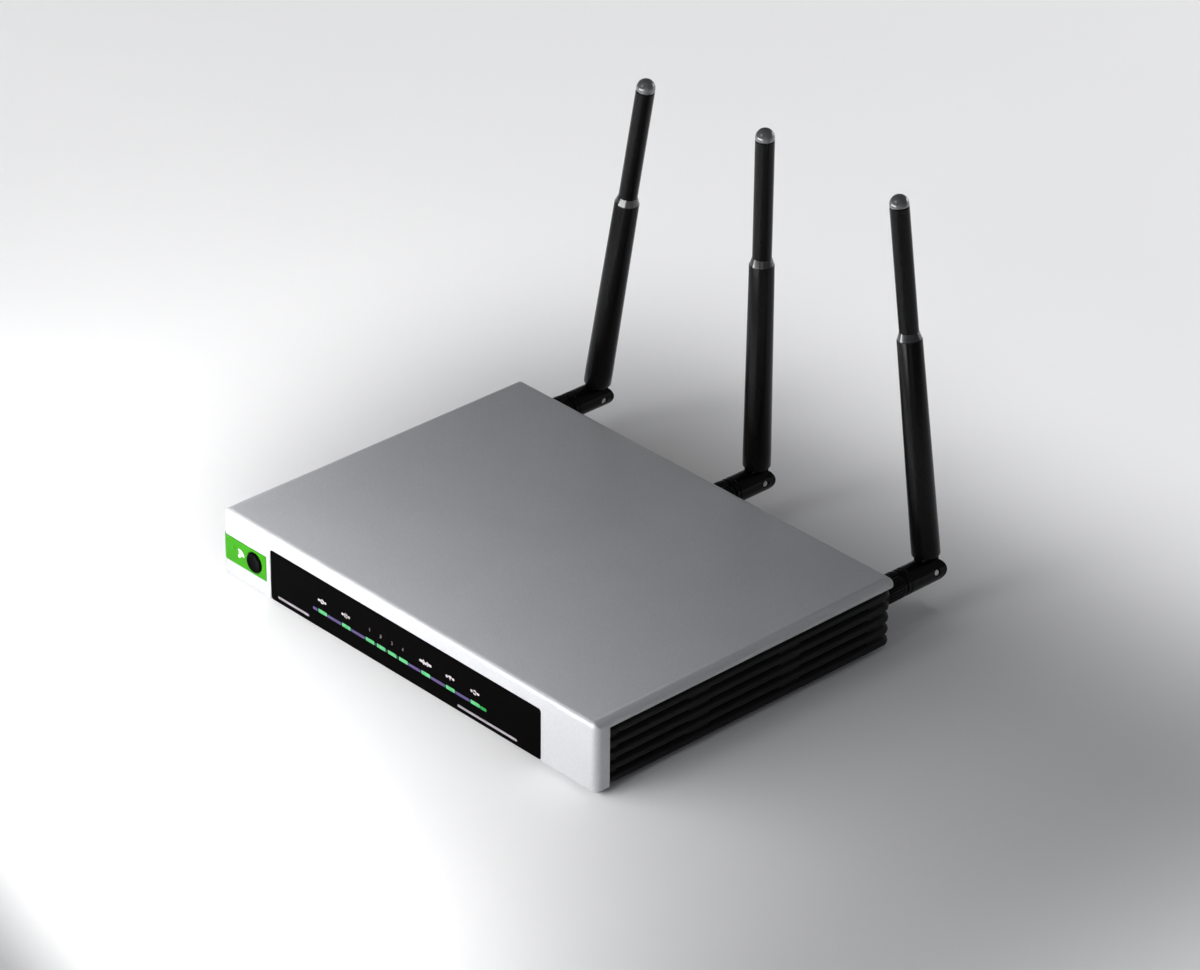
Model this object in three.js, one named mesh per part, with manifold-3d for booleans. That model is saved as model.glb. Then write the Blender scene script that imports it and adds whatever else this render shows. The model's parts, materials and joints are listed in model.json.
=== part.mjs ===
// Three-antenna wireless router: two-part plastic case, circuit board with its sockets, and three
// swivelling antennas. Millimetres, +Z up, +Y towards the rear. The origin is at the bottom centre of
// the whole object, on the surface that its feet stand on.
import * as THREE from "three";
import { mergeVertices } from "three/addons/utils/BufferGeometryUtils.js";
import Module from "manifold-3d";

const wasm = await Module();
wasm.setup();

// ---------------------------------------------------------------------------------- dimensions

// Case. Heights are counted from the surface the feet stand on.
const CASE_WIDTH = 200;
const CASE_DEPTH = 145;
const CASE_HEIGHT = 27;
const FOOT_HEIGHT = 2;
const COVER_WALL = 2.2;
const FLOOR_THICKNESS = 2;
const CORNER_RADIUS = 3;
const TOP_EDGE_RADIUS = 2.4; // front and rear
const SIDE_EDGE_WIDTH = 4.2; // how far the softer curve of each long side reaches over the top
const RIM_HEIGHT = 3; // how far the cover's rim comes down over the sides and the rear
const FRONT_WRAP = 6.4; // how far the white front turns back along each side
const SEAM = 0.3; // shadow gap between cover and lower case
const CLEARANCE = 0.25; // gap round anything that passes through a wall

// Ribbed side walls of the lower case.
const SIDE_INSET = 0.8; // rib faces behind the cover's side face
const RIB_COUNT = 5;
const RIB_HEIGHT = 2.8;
const GROOVE_DEPTH = 1.6;
const SIDE_WALL = 1.8;
const SIDE_SLOT_HEIGHT = 1.0;
const SIDE_SLOTS_PER_GROOVE = 3;
const SIDE_SLOT_LENGTH = 34;
const REAR_WALL = 2.2;

// Front window, status lights and push button. Heights are above the underside of the case.
const WINDOW_LEFT_MARGIN = 27.2;
const WINDOW_RIGHT_MARGIN = 27.8;
const WINDOW_HEIGHT = 20.8;
const WINDOW_THICKNESS = 2;
const WINDOW_FLANGE = 1.4;
const LIGHT_POSITIONS = [-44, -31, -18, -12, -6, 0, 12, 25, 38];
const LIGHT_HEIGHT = 7;
const LIGHT_LENGTH = 5;
const LIGHT_WIDTH = 1.7;
const BUTTON_INSET = 6.6; // button's centre from the badge's inner end
const BUTTON_HEIGHT = 11.3;
const BUTTON_RADIUS = 3.9;
const BUTTON_PROUD = 0.9;
const BUTTON_TRAVEL = 0.8;
const BADGE_HEIGHT = 10.2;
const BADGE_GAP = 2.2; // strip of cover between the badge and the window
const BADGE_THICKNESS = 0.8;
const BADGE_PROUD = 0.2;

// Circuit board.
const STANDOFF_HEIGHT = 4;
const BOARD_THICKNESS = 1.6;
const BOARD_SIDE_GAP = 5.8;
const BOARD_FRONT = 8; // board edge behind the front face
const BOARD_REAR_GAP = 1; // board edge before the inner face of the rear wall

// Screws through the case and the board.
const SCREW_RADIUS = 1.25;
const SCREW_HEAD_RADIUS = 2.8;
const SCREW_HEAD_HEIGHT = 1.8;
const SCREW_LENGTH = 13;
const POST_RADIUS = 3.5;
const BOSS_RADIUS = 4.6;
const SCREW_FRONT_INSET = [34, 18]; // from the case's side and front
const SCREW_REAR_INSET = [22, 27]; // from the case's side and rear

// Feet, wall-hanging slots and floor vents.
const FOOT_RADIUS = 5.5;
const FOOT_RECESS = 0.5;
const FOOT_INSET = 16;
const KEYHOLE_SPACING = 110;
const KEYHOLE_HEAD_RADIUS = 4.2;
const KEYHOLE_SLOT_WIDTH = 4.4;
const KEYHOLE_SLOT_LENGTH = 9;
const VENT_COUNT = 9;
const VENT_PITCH = 7;
const VENT_WIDTH = 2.2;
const VENT_LENGTH = 24;
const VENT_ROW_OFFSET = 34; // rows of vents before and behind the middle of the floor
const LABEL_WIDTH = 72;
const LABEL_DEPTH = 34;
const LABEL_THICKNESS = 0.3;
const LABEL_RECESS = 0.2;

// Rear sockets: centre across the width, width, height and depth of each body.
const SOCKET_PROUD = 0.5;
const PORT_PITCH = 14;
const PORT_WIDTH = 11.8;
const PORT_HEIGHT = 7;
const PORT_FLOOR = 3.6; // above the board
const PORT_DEPTH = 12;
const PORT_SIDE_WALL = 1;
const JACK_HEIGHT = 13.4;
const JACK_DEPTH = 16;
const LAN_PORTS = 4;
const LAN_CENTRE = -42;
const WAN_CENTRE = 21;
const USB_CENTRE = 42;
const USB_WIDTH = 13.2;
const USB_HEIGHT = 5.8;
const USB_DEPTH = 14;
const USB_SHELL = 0.4;
const RESET_CENTRE = 56;
const RESET_RADIUS = 1.2;
const RESET_TRAVEL = 0.5;
const POWER_CENTRE = 70;
const POWER_WIDTH = 9;
const POWER_HEIGHT = 11;
const POWER_DEPTH = 14;
const POWER_BORE_RADIUS = 3.15;
const POWER_PIN_RADIUS = 1;

// Antennas. Distances along each antenna are from the outer face of the rear wall.
const ANTENNA_INSET = 12; // outer antennas from the case's sides
const ANTENNA_HEIGHT = 14; // connector axis above the underside of the case
const LEFT_LEAN = 10.6; // degrees from upright, towards the right
const RIGHT_LEAN = -8.6;
const PIVOT_SETBACK = 28.5;
const THREAD_RADIUS = 3.1;
const THREAD_LENGTH = 9.5;
const NUT_ACROSS_FLATS = 9;
const NUT_THICKNESS = 2;
const COLLAR_RADIUS = 5.3;
const COLLAR_START = 2.6;
const COLLAR_LENGTH = 10.8;
const COLLAR_LIP = 2.5;
const KNURL_COUNT = 16;
const KNURL_DEPTH = 0.35;
const STEM_RADIUS = 2.6;
const KNUCKLE_RADIUS = 5.2;
const EAR_RADIUS = 5;
const TONGUE_THICKNESS = 4.2;
const TONGUE_RADIUS = 4.2;
const TONGUE_GAP = 0.2;
const PIN_RADIUS = 1.35;
const PIN_CLEARANCE = 0.15;
const SLEEVE_GAP = 0.6; // sleeve above the knuckle
const SLEEVE_TOP = 90;
const SLEEVE_ROOT_RADIUS = 5.3;
const SLEEVE_TOP_RADIUS = 4.7;
const ROD_RADIUS = 3.6;
const SHOULDER_HEIGHT = 2.8;
const WHIP_LENGTH = 144.4;
const WHIP_BORE_RADIUS = 2.6;
const LEAD_RADIUS = 0.7;

// Levels and places that follow from the dimensions above.
const UNDERSIDE = FOOT_HEIGHT;
const FLOOR_TOP = UNDERSIDE + FLOOR_THICKNESS;
const BOARD_BOTTOM = FLOOR_TOP + STANDOFF_HEIGHT;
const BOARD_TOP = BOARD_BOTTOM + BOARD_THICKNESS;
const CASE_TOP = UNDERSIDE + CASE_HEIGHT;
const CEILING = CASE_TOP - COVER_WALL;
const SEAM_LEVEL = CASE_TOP - RIM_HEIGHT;
const HALF_WIDTH = CASE_WIDTH / 2;
const RIB_PITCH = (CASE_HEIGHT - RIM_HEIGHT - SEAM) / RIB_COUNT;
const RIB_FACE = HALF_WIDTH - SIDE_INSET;
const GROOVE_FACE = RIB_FACE - GROOVE_DEPTH;
const TRAY_INSIDE = GROOVE_FACE - SIDE_WALL;
const TRAY_FRONT = FRONT_WRAP + SEAM;
const TRAY_TOP = SEAM_LEVEL - SEAM;
const REAR_INSIDE = CASE_DEPTH - REAR_WALL;
const SOCKET_FACE = CASE_DEPTH + SOCKET_PROUD;
const BOARD_REAR = REAR_INSIDE - BOARD_REAR_GAP;
const LIGHT_LEVEL = UNDERSIDE + LIGHT_HEIGHT;
const BUTTON_LEVEL = UNDERSIDE + BUTTON_HEIGHT;
const ANTENNA_LEVEL = UNDERSIDE + ANTENNA_HEIGHT;
const WINDOW_LEFT = -HALF_WIDTH + WINDOW_LEFT_MARGIN;
const WINDOW_RIGHT = HALF_WIDTH - WINDOW_RIGHT_MARGIN;
const BADGE_INNER_END = WINDOW_LEFT - BADGE_GAP;
const BUTTON_POSITION = BADGE_INNER_END - BUTTON_INSET;
const SCREW_SITES = [
  ["front_left", SCREW_FRONT_INSET[0] - HALF_WIDTH, SCREW_FRONT_INSET[1]],
  ["front_right", HALF_WIDTH - SCREW_FRONT_INSET[0], SCREW_FRONT_INSET[1]],
  ["rear_left", SCREW_REAR_INSET[0] - HALF_WIDTH, CASE_DEPTH - SCREW_REAR_INSET[1]],
  ["rear_right", HALF_WIDTH - SCREW_REAR_INSET[0], CASE_DEPTH - SCREW_REAR_INSET[1]],
];
const ANTENNA_SPACING = HALF_WIDTH - ANTENNA_INSET;
const SLEEVE_START = Math.max(EAR_RADIUS, KNUCKLE_RADIUS) + SLEEVE_GAP;
const CAPTIVE_RADIUS = THREAD_RADIUS + 0.1; // of the stem's end, inside the collar
const REARMOST = CASE_DEPTH + PIVOT_SETBACK + SLEEVE_ROOT_RADIUS;
const PAST = 1; // how far a cutting tool runs past the face it opens

// ----------------------------------------------------------------------------------- materials

const finish = (color, roughness, metalness = 0) =>
  new THREE.MeshStandardMaterial({ color, roughness, metalness });

const MATERIALS = {
  coverWhite: finish(0xdfe0e3, 0.3, 0.1),
  caseBlack: finish(0x131314, 0.5),
  windowBlack: finish(0x060606, 0.08),
  badgeGreen: finish(0x43c314, 0.35),
  buttonBlack: finish(0x0a0a0a, 0.2),
  lightGreen: finish(0x7dffa8, 0.3),
  rubber: finish(0x1c1c1c, 0.9),
  screwSteel: finish(0x8b8d90, 0.35, 1),
  labelSilver: finish(0xc9cbcd, 0.6),
  boardGreen: finish(0x0f5a2c, 0.5),
  chipBlack: finish(0x1a1a1c, 0.6),
  heatsinkAluminium: finish(0xb4b7ba, 0.35, 1),
  shieldTin: finish(0xbdbfc0, 0.3, 1),
  portYellow: finish(0xe0b020, 0.4),
  portBlue: finish(0x1f5fb8, 0.4),
  socketSteel: finish(0xc4c6c8, 0.3, 1),
  socketBlack: finish(0x101010, 0.5),
  capacitorBlue: finish(0x1e2a52, 0.4),
  brassGold: finish(0xc9a24a, 0.3, 1),
  antennaBlack: finish(0x0c0c0d, 0.25),
  leadGrey: finish(0x6d6f72, 0.5),
};

// ------------------------------------------------------------------------------ shape functions

// A three.js geometry as a manifold-3d solid.
function solidOf(geometry) {
  const bare = geometry.index ? geometry.toNonIndexed() : geometry.clone();
  for (const name of Object.keys(bare.attributes)) {
    if (name !== "position") bare.deleteAttribute(name);
  }
  const merged = mergeVertices(bare, 1e-4);
  return new wasm.Manifold(
    new wasm.Mesh({
      numProp: 3,
      vertProperties: merged.attributes.position.array,
      triVerts: new Uint32Array(merged.index.array),
    }),
  );
}

// A manifold-3d solid as a flat-shaded three.js geometry.
function geometryOf(solid) {
  const mesh = solid.getMesh();
  const geometry = new THREE.BufferGeometry();
  geometry.setAttribute("position", new THREE.BufferAttribute(mesh.vertProperties, 3));
  geometry.setIndex(new THREE.BufferAttribute(mesh.triVerts, 1));
  const flat = geometry.toNonIndexed();
  flat.computeVertexNormals();
  return flat;
}

const join = (...geometries) =>
  geometryOf(geometries.map(solidOf).reduce((whole, next) => whole.add(next)));

const cut = (base, ...tools) =>
  geometryOf(tools.map(solidOf).reduce((left, tool) => left.subtract(tool), solidOf(base)));

const overlapOf = (a, b) => geometryOf(solidOf(a).intersect(solidOf(b)));

// A block between two corners.
function block([x0, y0, z0], [x1, y1, z1]) {
  const box = new THREE.BoxGeometry(x1 - x0, y1 - y0, z1 - z0);
  return box.translate((x0 + x1) / 2, (y0 + y1) / 2, (z0 + z1) / 2);
}

// A rectangle with rounded corners, as a closed outline.
function roundedRectangle(x0, x1, y0, y1, radius) {
  const outline = new THREE.Shape();
  outline.moveTo(x0 + radius, y0);
  outline.lineTo(x1 - radius, y0);
  outline.absarc(x1 - radius, y0 + radius, radius, -Math.PI / 2, 0);
  outline.lineTo(x1, y1 - radius);
  outline.absarc(x1 - radius, y1 - radius, radius, 0, Math.PI / 2);
  outline.lineTo(x0 + radius, y1);
  outline.absarc(x0 + radius, y1 - radius, radius, Math.PI / 2, Math.PI);
  outline.lineTo(x0, y0 + radius);
  outline.absarc(x0 + radius, y0 + radius, radius, Math.PI, 1.5 * Math.PI);
  return outline;
}

// An outline in plan, raised from one level to another.
function raised(outline, low, high, curveSegments = 4) {
  const settings = { depth: high - low, bevelEnabled: false, curveSegments };
  return new THREE.ExtrudeGeometry(outline, settings).translate(0, 0, low);
}

// An outline seen from the front, its x across and its y up, run from one depth to another.
function alongY(outline, near, far, curveSegments = 4) {
  const settings = { depth: far - near, bevelEnabled: false, curveSegments };
  return new THREE.ExtrudeGeometry(outline, settings).rotateX(Math.PI / 2).translate(0, far, 0);
}

// A turned piece about the Y axis. Each profile point is [radius, distance along the axis].
function turnedAlongY(profile, segments = 16) {
  const points = profile.map(([radius, along]) => new THREE.Vector2(radius, along));
  return new THREE.LatheGeometry(points, segments);
}

// The same about the Z axis.
const turned = (profile, segments = 16) => turnedAlongY(profile, segments).rotateX(Math.PI / 2);

// A plain round bar from low to high about Z.
const roundBar = (radius, low, high, segments = 16) =>
  turned([[0, low], [radius, low], [radius, high], [0, high]], segments);

const roundBarAlongY = (radius, near, far, segments = 16) =>
  turnedAlongY([[0, near], [radius, near], [radius, far], [0, far]], segments);

function mesh(name, geometry, material, position = [0, 0, 0]) {
  const made = new THREE.Mesh(geometry, material);
  made.name = name;
  made.position.set(...position);
  return made;
}

// ----------------------------------------------------------------------------------------- case

// The badge's plan: it follows the flat front and turns part of the way round the left corner.
function badgePlan(outset, thickness) {
  const centreX = -HALF_WIDTH + CORNER_RADIUS;
  const outer = CORNER_RADIUS + outset;
  const inner = outer - thickness;
  const sweepEnd = 1.5 * Math.PI - Math.PI / 3;
  const plan = new THREE.Shape();
  plan.moveTo(BADGE_INNER_END, -outset);
  plan.lineTo(BADGE_INNER_END, thickness - outset);
  plan.lineTo(centreX, thickness - outset);
  plan.absarc(centreX, CORNER_RADIUS, inner, 1.5 * Math.PI, sweepEnd, true);
  plan.absarc(centreX, CORNER_RADIUS, outer, sweepEnd, 1.5 * Math.PI, false);
  return plan;
}

function badgeSolid(outset, thickness, growth) {
  const low = BUTTON_LEVEL - BADGE_HEIGHT / 2 - growth;
  const high = BUTTON_LEVEL + BADGE_HEIGHT / 2 + growth;
  return raised(badgePlan(outset, thickness), low, high, 6);
}

const windowSides = (growth) => [WINDOW_LEFT - growth, WINDOW_RIGHT + growth];

// The cover's cross-section, with an elliptical curve from the flat top to each rim's lower edge.
function coverSection() {
  const section = new THREE.Shape();
  const curve = HALF_WIDTH - SIDE_EDGE_WIDTH;
  section.moveTo(-HALF_WIDTH, UNDERSIDE - PAST);
  section.lineTo(HALF_WIDTH, UNDERSIDE - PAST);
  section.absellipse(curve, SEAM_LEVEL, SIDE_EDGE_WIDTH, RIM_HEIGHT, 0, Math.PI / 2, false);
  section.absellipse(-curve, SEAM_LEVEL, SIDE_EDGE_WIDTH, RIM_HEIGHT, Math.PI / 2, Math.PI, false);
  return section;
}

function topCover() {
  const plan = roundedRectangle(-HALF_WIDTH, HALF_WIDTH, 0, CASE_DEPTH, CORNER_RADIUS);
  const skin = new THREE.ExtrudeGeometry(plan, {
    depth: CASE_HEIGHT,
    bevelThickness: TOP_EDGE_RADIUS,
    bevelSize: TOP_EDGE_RADIUS,
    bevelOffset: -TOP_EDGE_RADIUS,
    bevelSegments: 4,
    curveSegments: 6,
  }).translate(0, 0, UNDERSIDE - TOP_EDGE_RADIUS);
  const outside = overlapOf(skin, alongY(coverSection(), -PAST, CASE_DEPTH + PAST, 6));
  const inside = raised(
    roundedRectangle(
      -HALF_WIDTH + COVER_WALL,
      HALF_WIDTH - COVER_WALL,
      COVER_WALL,
      CASE_DEPTH - COVER_WALL,
      CORNER_RADIUS - COVER_WALL,
    ),
    -CASE_HEIGHT,
    CEILING,
    5,
  );
  const belowCase = block(
    [-HALF_WIDTH - PAST, -PAST, -CASE_HEIGHT],
    [HALF_WIDTH + PAST, CASE_DEPTH + PAST, UNDERSIDE],
  );
  const openSides = block(
    [-HALF_WIDTH - PAST, FRONT_WRAP, -CASE_HEIGHT],
    [HALF_WIDTH + PAST, CASE_DEPTH + PAST, SEAM_LEVEL],
  );
  const [left, right] = windowSides(0);
  const windowNotch = alongY(
    roundedRectangle(left, right, -CASE_HEIGHT, UNDERSIDE + WINDOW_HEIGHT, 1.2),
    -PAST,
    COVER_WALL + PAST,
  );
  const buttonHole = roundBarAlongY(BUTTON_RADIUS + CLEARANCE, -PAST, COVER_WALL + PAST, 24)
    .translate(BUTTON_POSITION, 0, BUTTON_LEVEL);
  const badgeRecess = badgeSolid(PAST, BADGE_THICKNESS - BADGE_PROUD + PAST + 0.1, CLEARANCE / 2);
  const shell = cut(outside, inside, belowCase, openSides, windowNotch, buttonHole, badgeRecess);

  // Lips that stand inside the lower case, and a post over each case screw.
  const lipFace = TRAY_INSIDE - SEAM;
  const lips = [-1, 1].map((side) =>
    block(
      [Math.min(side * lipFace, side * (lipFace - 1.2)), TRAY_FRONT + 3, CEILING - 2.3],
      [Math.max(side * lipFace, side * (lipFace - 1.2)), REAR_INSIDE - 3, CEILING + 0.5],
    ),
  );
  const posts = SCREW_SITES.map(([, x, y]) =>
    roundBar(POST_RADIUS, BOARD_TOP + 0.1, CEILING + 0.5, 16).translate(x, y, 0),
  );
  const pilots = SCREW_SITES.map(([, x, y]) =>
    roundBar(SCREW_RADIUS + CLEARANCE, BOARD_TOP - PAST, CEILING - 2, 12).translate(x, y, 0),
  );
  return cut(join(shell, ...lips, ...posts), ...pilots);
}

function sideSlots() {
  const pitch = (CASE_DEPTH - 2 * TRAY_FRONT) / SIDE_SLOTS_PER_GROOVE;
  const slots = [];
  for (let groove = 1; groove < RIB_COUNT; groove++) {
    const level = UNDERSIDE + groove * RIB_PITCH - (RIB_PITCH - RIB_HEIGHT) / 2;
    for (let n = 0; n < SIDE_SLOTS_PER_GROOVE; n++) {
      const middle = TRAY_FRONT + (n + 0.5) * pitch;
      for (const side of [-1, 1]) {
        const faces = [side * (TRAY_INSIDE - PAST), side * (GROOVE_FACE + PAST / 2)];
        slots.push(
          block(
            [Math.min(...faces), middle - SIDE_SLOT_LENGTH / 2, level - SIDE_SLOT_HEIGHT / 2],
            [Math.max(...faces), middle + SIDE_SLOT_LENGTH / 2, level + SIDE_SLOT_HEIGHT / 2],
          ),
        );
      }
    }
  }
  return slots;
}

function keyhole(x) {
  const y = CASE_DEPTH / 2;
  const head = roundBar(KEYHOLE_HEAD_RADIUS, UNDERSIDE - PAST, FLOOR_TOP + PAST, 16);
  const slot = roundedRectangle(
    -KEYHOLE_SLOT_WIDTH / 2,
    KEYHOLE_SLOT_WIDTH / 2,
    0,
    KEYHOLE_SLOT_LENGTH,
    KEYHOLE_SLOT_WIDTH / 2 - 0.01,
  );
  return join(head, raised(slot, UNDERSIDE - PAST, FLOOR_TOP + PAST)).translate(x, y, 0);
}

function floorVents() {
  const vents = [];
  for (const row of [-1, 1]) {
    for (let n = 0; n < VENT_COUNT; n++) {
      const x = (n - (VENT_COUNT - 1) / 2) * VENT_PITCH;
      const y = CASE_DEPTH / 2 + row * VENT_ROW_OFFSET;
      vents.push(
        block(
          [x - VENT_WIDTH / 2, y - VENT_LENGTH / 2, UNDERSIDE - PAST],
          [x + VENT_WIDTH / 2, y + VENT_LENGTH / 2, FLOOR_TOP + PAST],
        ),
      );
    }
  }
  return vents;
}

const lanWidth = LAN_PORTS * PORT_PITCH + 2 * PORT_SIDE_WALL;
const wanWidth = PORT_PITCH + 2 * PORT_SIDE_WALL;

// Each socket's opening in the rear wall: centre, width, bottom and top.
const REAR_OPENINGS = [
  [LAN_CENTRE, lanWidth, BOARD_TOP, BOARD_TOP + JACK_HEIGHT],
  [WAN_CENTRE, wanWidth, BOARD_TOP, BOARD_TOP + JACK_HEIGHT],
  [USB_CENTRE, USB_WIDTH, BOARD_TOP, BOARD_TOP + USB_HEIGHT],
  [POWER_CENTRE, POWER_WIDTH, BOARD_TOP, BOARD_TOP + POWER_HEIGHT],
];
const RESET_LEVEL = BOARD_TOP + 2.6;

const FOOT_SITES = [
  ["front_left", -HALF_WIDTH + FOOT_INSET, FOOT_INSET],
  ["front_right", HALF_WIDTH - FOOT_INSET, FOOT_INSET],
  ["rear_left", -HALF_WIDTH + FOOT_INSET, CASE_DEPTH - FOOT_INSET],
  ["rear_right", HALF_WIDTH - FOOT_INSET, CASE_DEPTH - FOOT_INSET],
];

const ANTENNAS = [
  { side: "left", x: -ANTENNA_SPACING, lean: LEFT_LEAN },
  { side: "middle", x: 0, lean: 0 },
  { side: "right", x: ANTENNA_SPACING, lean: RIGHT_LEAN },
];

function bottomCase() {
  const planOf = (halfWidth, front, rear, radius) =>
    roundedRectangle(-halfWidth, halfWidth, front, rear, radius);
  const floor = raised(
    planOf(GROOVE_FACE - 0.2, COVER_WALL + SEAM, CASE_DEPTH - 0.5, 3),
    UNDERSIDE,
    FLOOR_TOP,
  );
  const core = raised(planOf(GROOVE_FACE, TRAY_FRONT + 0.6, REAR_INSIDE + 0.8, 3), UNDERSIDE, TRAY_TOP);
  const ribs = [];
  for (let n = 0; n < RIB_COUNT; n++) {
    const low = UNDERSIDE + n * RIB_PITCH;
    const plan = planOf(RIB_FACE, TRAY_FRONT, CASE_DEPTH - 0.4, 4);
    ribs.push(raised(plan, low, low + RIB_HEIGHT));
  }
  const hollow = block(
    [-TRAY_INSIDE, -PAST, FLOOR_TOP],
    [TRAY_INSIDE, REAR_INSIDE, CASE_TOP],
  );
  const frontGap = block(
    [-TRAY_INSIDE, -PAST, 0],
    [TRAY_INSIDE, COVER_WALL + SEAM, CASE_TOP],
  );
  const rearPanel = block(
    [-HALF_WIDTH + 8, REAR_INSIDE, UNDERSIDE],
    [HALF_WIDTH - 8, CASE_DEPTH, TRAY_TOP],
  );
  const walls = join(cut(join(core, ...ribs), hollow, frontGap), rearPanel);
  const bosses = SCREW_SITES.map(([, x, y]) =>
    roundBar(BOSS_RADIUS, FLOOR_TOP - 0.5, BOARD_BOTTOM, 16).translate(x, y, 0),
  );
  const screwHoles = SCREW_SITES.map(([, x, y]) =>
    turned(
      [
        [0, UNDERSIDE - PAST],
        [SCREW_HEAD_RADIUS + CLEARANCE, UNDERSIDE - PAST],
        [SCREW_HEAD_RADIUS + CLEARANCE, UNDERSIDE + SCREW_HEAD_HEIGHT + 0.9],
        [SCREW_RADIUS + CLEARANCE, UNDERSIDE + SCREW_HEAD_HEIGHT + 0.9],
        [SCREW_RADIUS + CLEARANCE, BOARD_BOTTOM + PAST],
        [0, BOARD_BOTTOM + PAST],
      ],
      16,
    ).translate(x, y, 0),
  );
  const footRecesses = FOOT_SITES.map(([, x, y]) =>
    roundBar(FOOT_RADIUS + CLEARANCE, UNDERSIDE - PAST, UNDERSIDE + FOOT_RECESS).translate(x, y, 0),
  );
  const socketHoles = REAR_OPENINGS.map(([x, width, low, high]) =>
    block(
      [x - width / 2 - CLEARANCE, REAR_INSIDE - PAST, low - CLEARANCE],
      [x + width / 2 + CLEARANCE, CASE_DEPTH + PAST, high + CLEARANCE],
    ),
  );
  const resetHole = roundBarAlongY(RESET_RADIUS + 0.4, REAR_INSIDE - PAST, CASE_DEPTH + PAST, 14)
    .translate(RESET_CENTRE, 0, RESET_LEVEL);
  const antennaHoles = ANTENNAS.map(({ x }) =>
    roundBarAlongY(THREAD_RADIUS + CLEARANCE, REAR_INSIDE - PAST, CASE_DEPTH + PAST)
      .translate(x, 0, ANTENNA_LEVEL),
  );
  const labelRecess = block(
    [-LABEL_WIDTH / 2 - CLEARANCE, CASE_DEPTH / 2 - LABEL_DEPTH / 2 - CLEARANCE, UNDERSIDE - PAST],
    [LABEL_WIDTH / 2 + CLEARANCE, CASE_DEPTH / 2 + LABEL_DEPTH / 2 + CLEARANCE, UNDERSIDE + LABEL_RECESS],
  );
  return cut(
    join(floor, walls, ...bosses),
    ...screwHoles,
    ...footRecesses,
    ...socketHoles,
    resetHole,
    ...antennaHoles,
    labelRecess,
    keyhole(-KEYHOLE_SPACING / 2),
    keyhole(KEYHOLE_SPACING / 2),
    ...floorVents(),
    ...sideSlots(),
  );
}

function frontWindow() {
  const [left, right] = windowSides(-0.2);
  const top = UNDERSIDE + WINDOW_HEIGHT - 0.2;
  const pane = alongY(roundedRectangle(left, right, UNDERSIDE + 0.1, top, 1), 0.15, 0.15 + WINDOW_THICKNESS);
  const flangeNear = COVER_WALL + 0.15;
  const flange = block(
    [left - WINDOW_FLANGE, flangeNear, FLOOR_TOP + SEAM],
    [right + WINDOW_FLANGE, flangeNear + 1, top + WINDOW_FLANGE],
  );
  const bridge = block(
    [left + 1, WINDOW_THICKNESS - 0.5, FLOOR_TOP + SEAM],
    [right - 1, flangeNear + 0.5, top - 1],
  );
  const slots = LIGHT_POSITIONS.map((x) =>
    block(
      [x - LIGHT_LENGTH / 2, -PAST, LIGHT_LEVEL - LIGHT_WIDTH / 2],
      [x + LIGHT_LENGTH / 2, flangeNear + 2, LIGHT_LEVEL + LIGHT_WIDTH / 2],
    ),
  );
  return cut(join(pane, bridge, flange), ...slots);
}

function lightGuide() {
  const gap = 0.12;
  const barNear = COVER_WALL + 2.2;
  const first = LIGHT_POSITIONS[0] - LIGHT_LENGTH;
  const last = LIGHT_POSITIONS[LIGHT_POSITIONS.length - 1] + LIGHT_LENGTH;
  const bar = block([first, barNear, LIGHT_LEVEL - 1], [last, barNear + 2, BOARD_TOP + 2.2]);
  const lenses = LIGHT_POSITIONS.map((x) =>
    block(
      [x - LIGHT_LENGTH / 2 + gap, 0.1, LIGHT_LEVEL - LIGHT_WIDTH / 2 + gap],
      [x + LIGHT_LENGTH / 2 - gap, barNear + 0.5, LIGHT_LEVEL + LIGHT_WIDTH / 2 - gap],
    ),
  );
  return join(bar, ...lenses);
}

function badgePlate() {
  const plate = badgeSolid(BADGE_PROUD, BADGE_THICKNESS, 0);
  const hole = roundBarAlongY(BUTTON_RADIUS + CLEARANCE, -2, 2, 24)
    .translate(BUTTON_POSITION, 0, BUTTON_LEVEL);
  return cut(plate, hole);
}

// The button's face is at its near end, its retaining flange is behind the cover's wall, and its stem
// reaches into the switch.
const SWITCH_NEAR = BOARD_FRONT;
function pushButton() {
  const flangeNear = COVER_WALL + 0.3;
  return turnedAlongY(
    [
      [0, -BUTTON_PROUD],
      [BUTTON_RADIUS - 0.6, -BUTTON_PROUD],
      [BUTTON_RADIUS, -BUTTON_PROUD + 0.4],
      [BUTTON_RADIUS, flangeNear],
      [BUTTON_RADIUS + 1.1, flangeNear],
      [BUTTON_RADIUS + 1.1, flangeNear + 0.8],
      [1.6, flangeNear + 0.8],
      [1.6, SWITCH_NEAR + 0.6],
      [0, SWITCH_NEAR + 0.6],
    ],
    20,
  );
}

// A push switch with a bore that the button's stem runs in. Its near face is at y = 0.
function pushSwitch(width, height, depth, boreRadius, boreDepth, boreLevel) {
  const body = block([-width / 2, 0, 0], [width / 2, depth, height]);
  return cut(body, roundBarAlongY(boreRadius, -PAST, boreDepth, 16).translate(0, 0, boreLevel));
}

function caseScrew() {
  const headLow = UNDERSIDE + 0.6;
  const headHigh = headLow + SCREW_HEAD_HEIGHT;
  const screw = turned(
    [
      [0, headLow],
      [SCREW_HEAD_RADIUS - 0.5, headLow],
      [SCREW_HEAD_RADIUS, headLow + 0.5],
      [SCREW_HEAD_RADIUS, headHigh],
      [SCREW_RADIUS, headHigh],
      [SCREW_RADIUS, headHigh + SCREW_LENGTH - 1],
      [0, headHigh + SCREW_LENGTH],
    ],
    16,
  );
  const slotDeep = headLow + 1.1;
  return cut(
    screw,
    block([-1.7, -0.35, headLow - PAST], [1.7, 0.35, slotDeep]),
    block([-0.35, -1.7, headLow - PAST], [0.35, 1.7, slotDeep]),
  );
}

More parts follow.
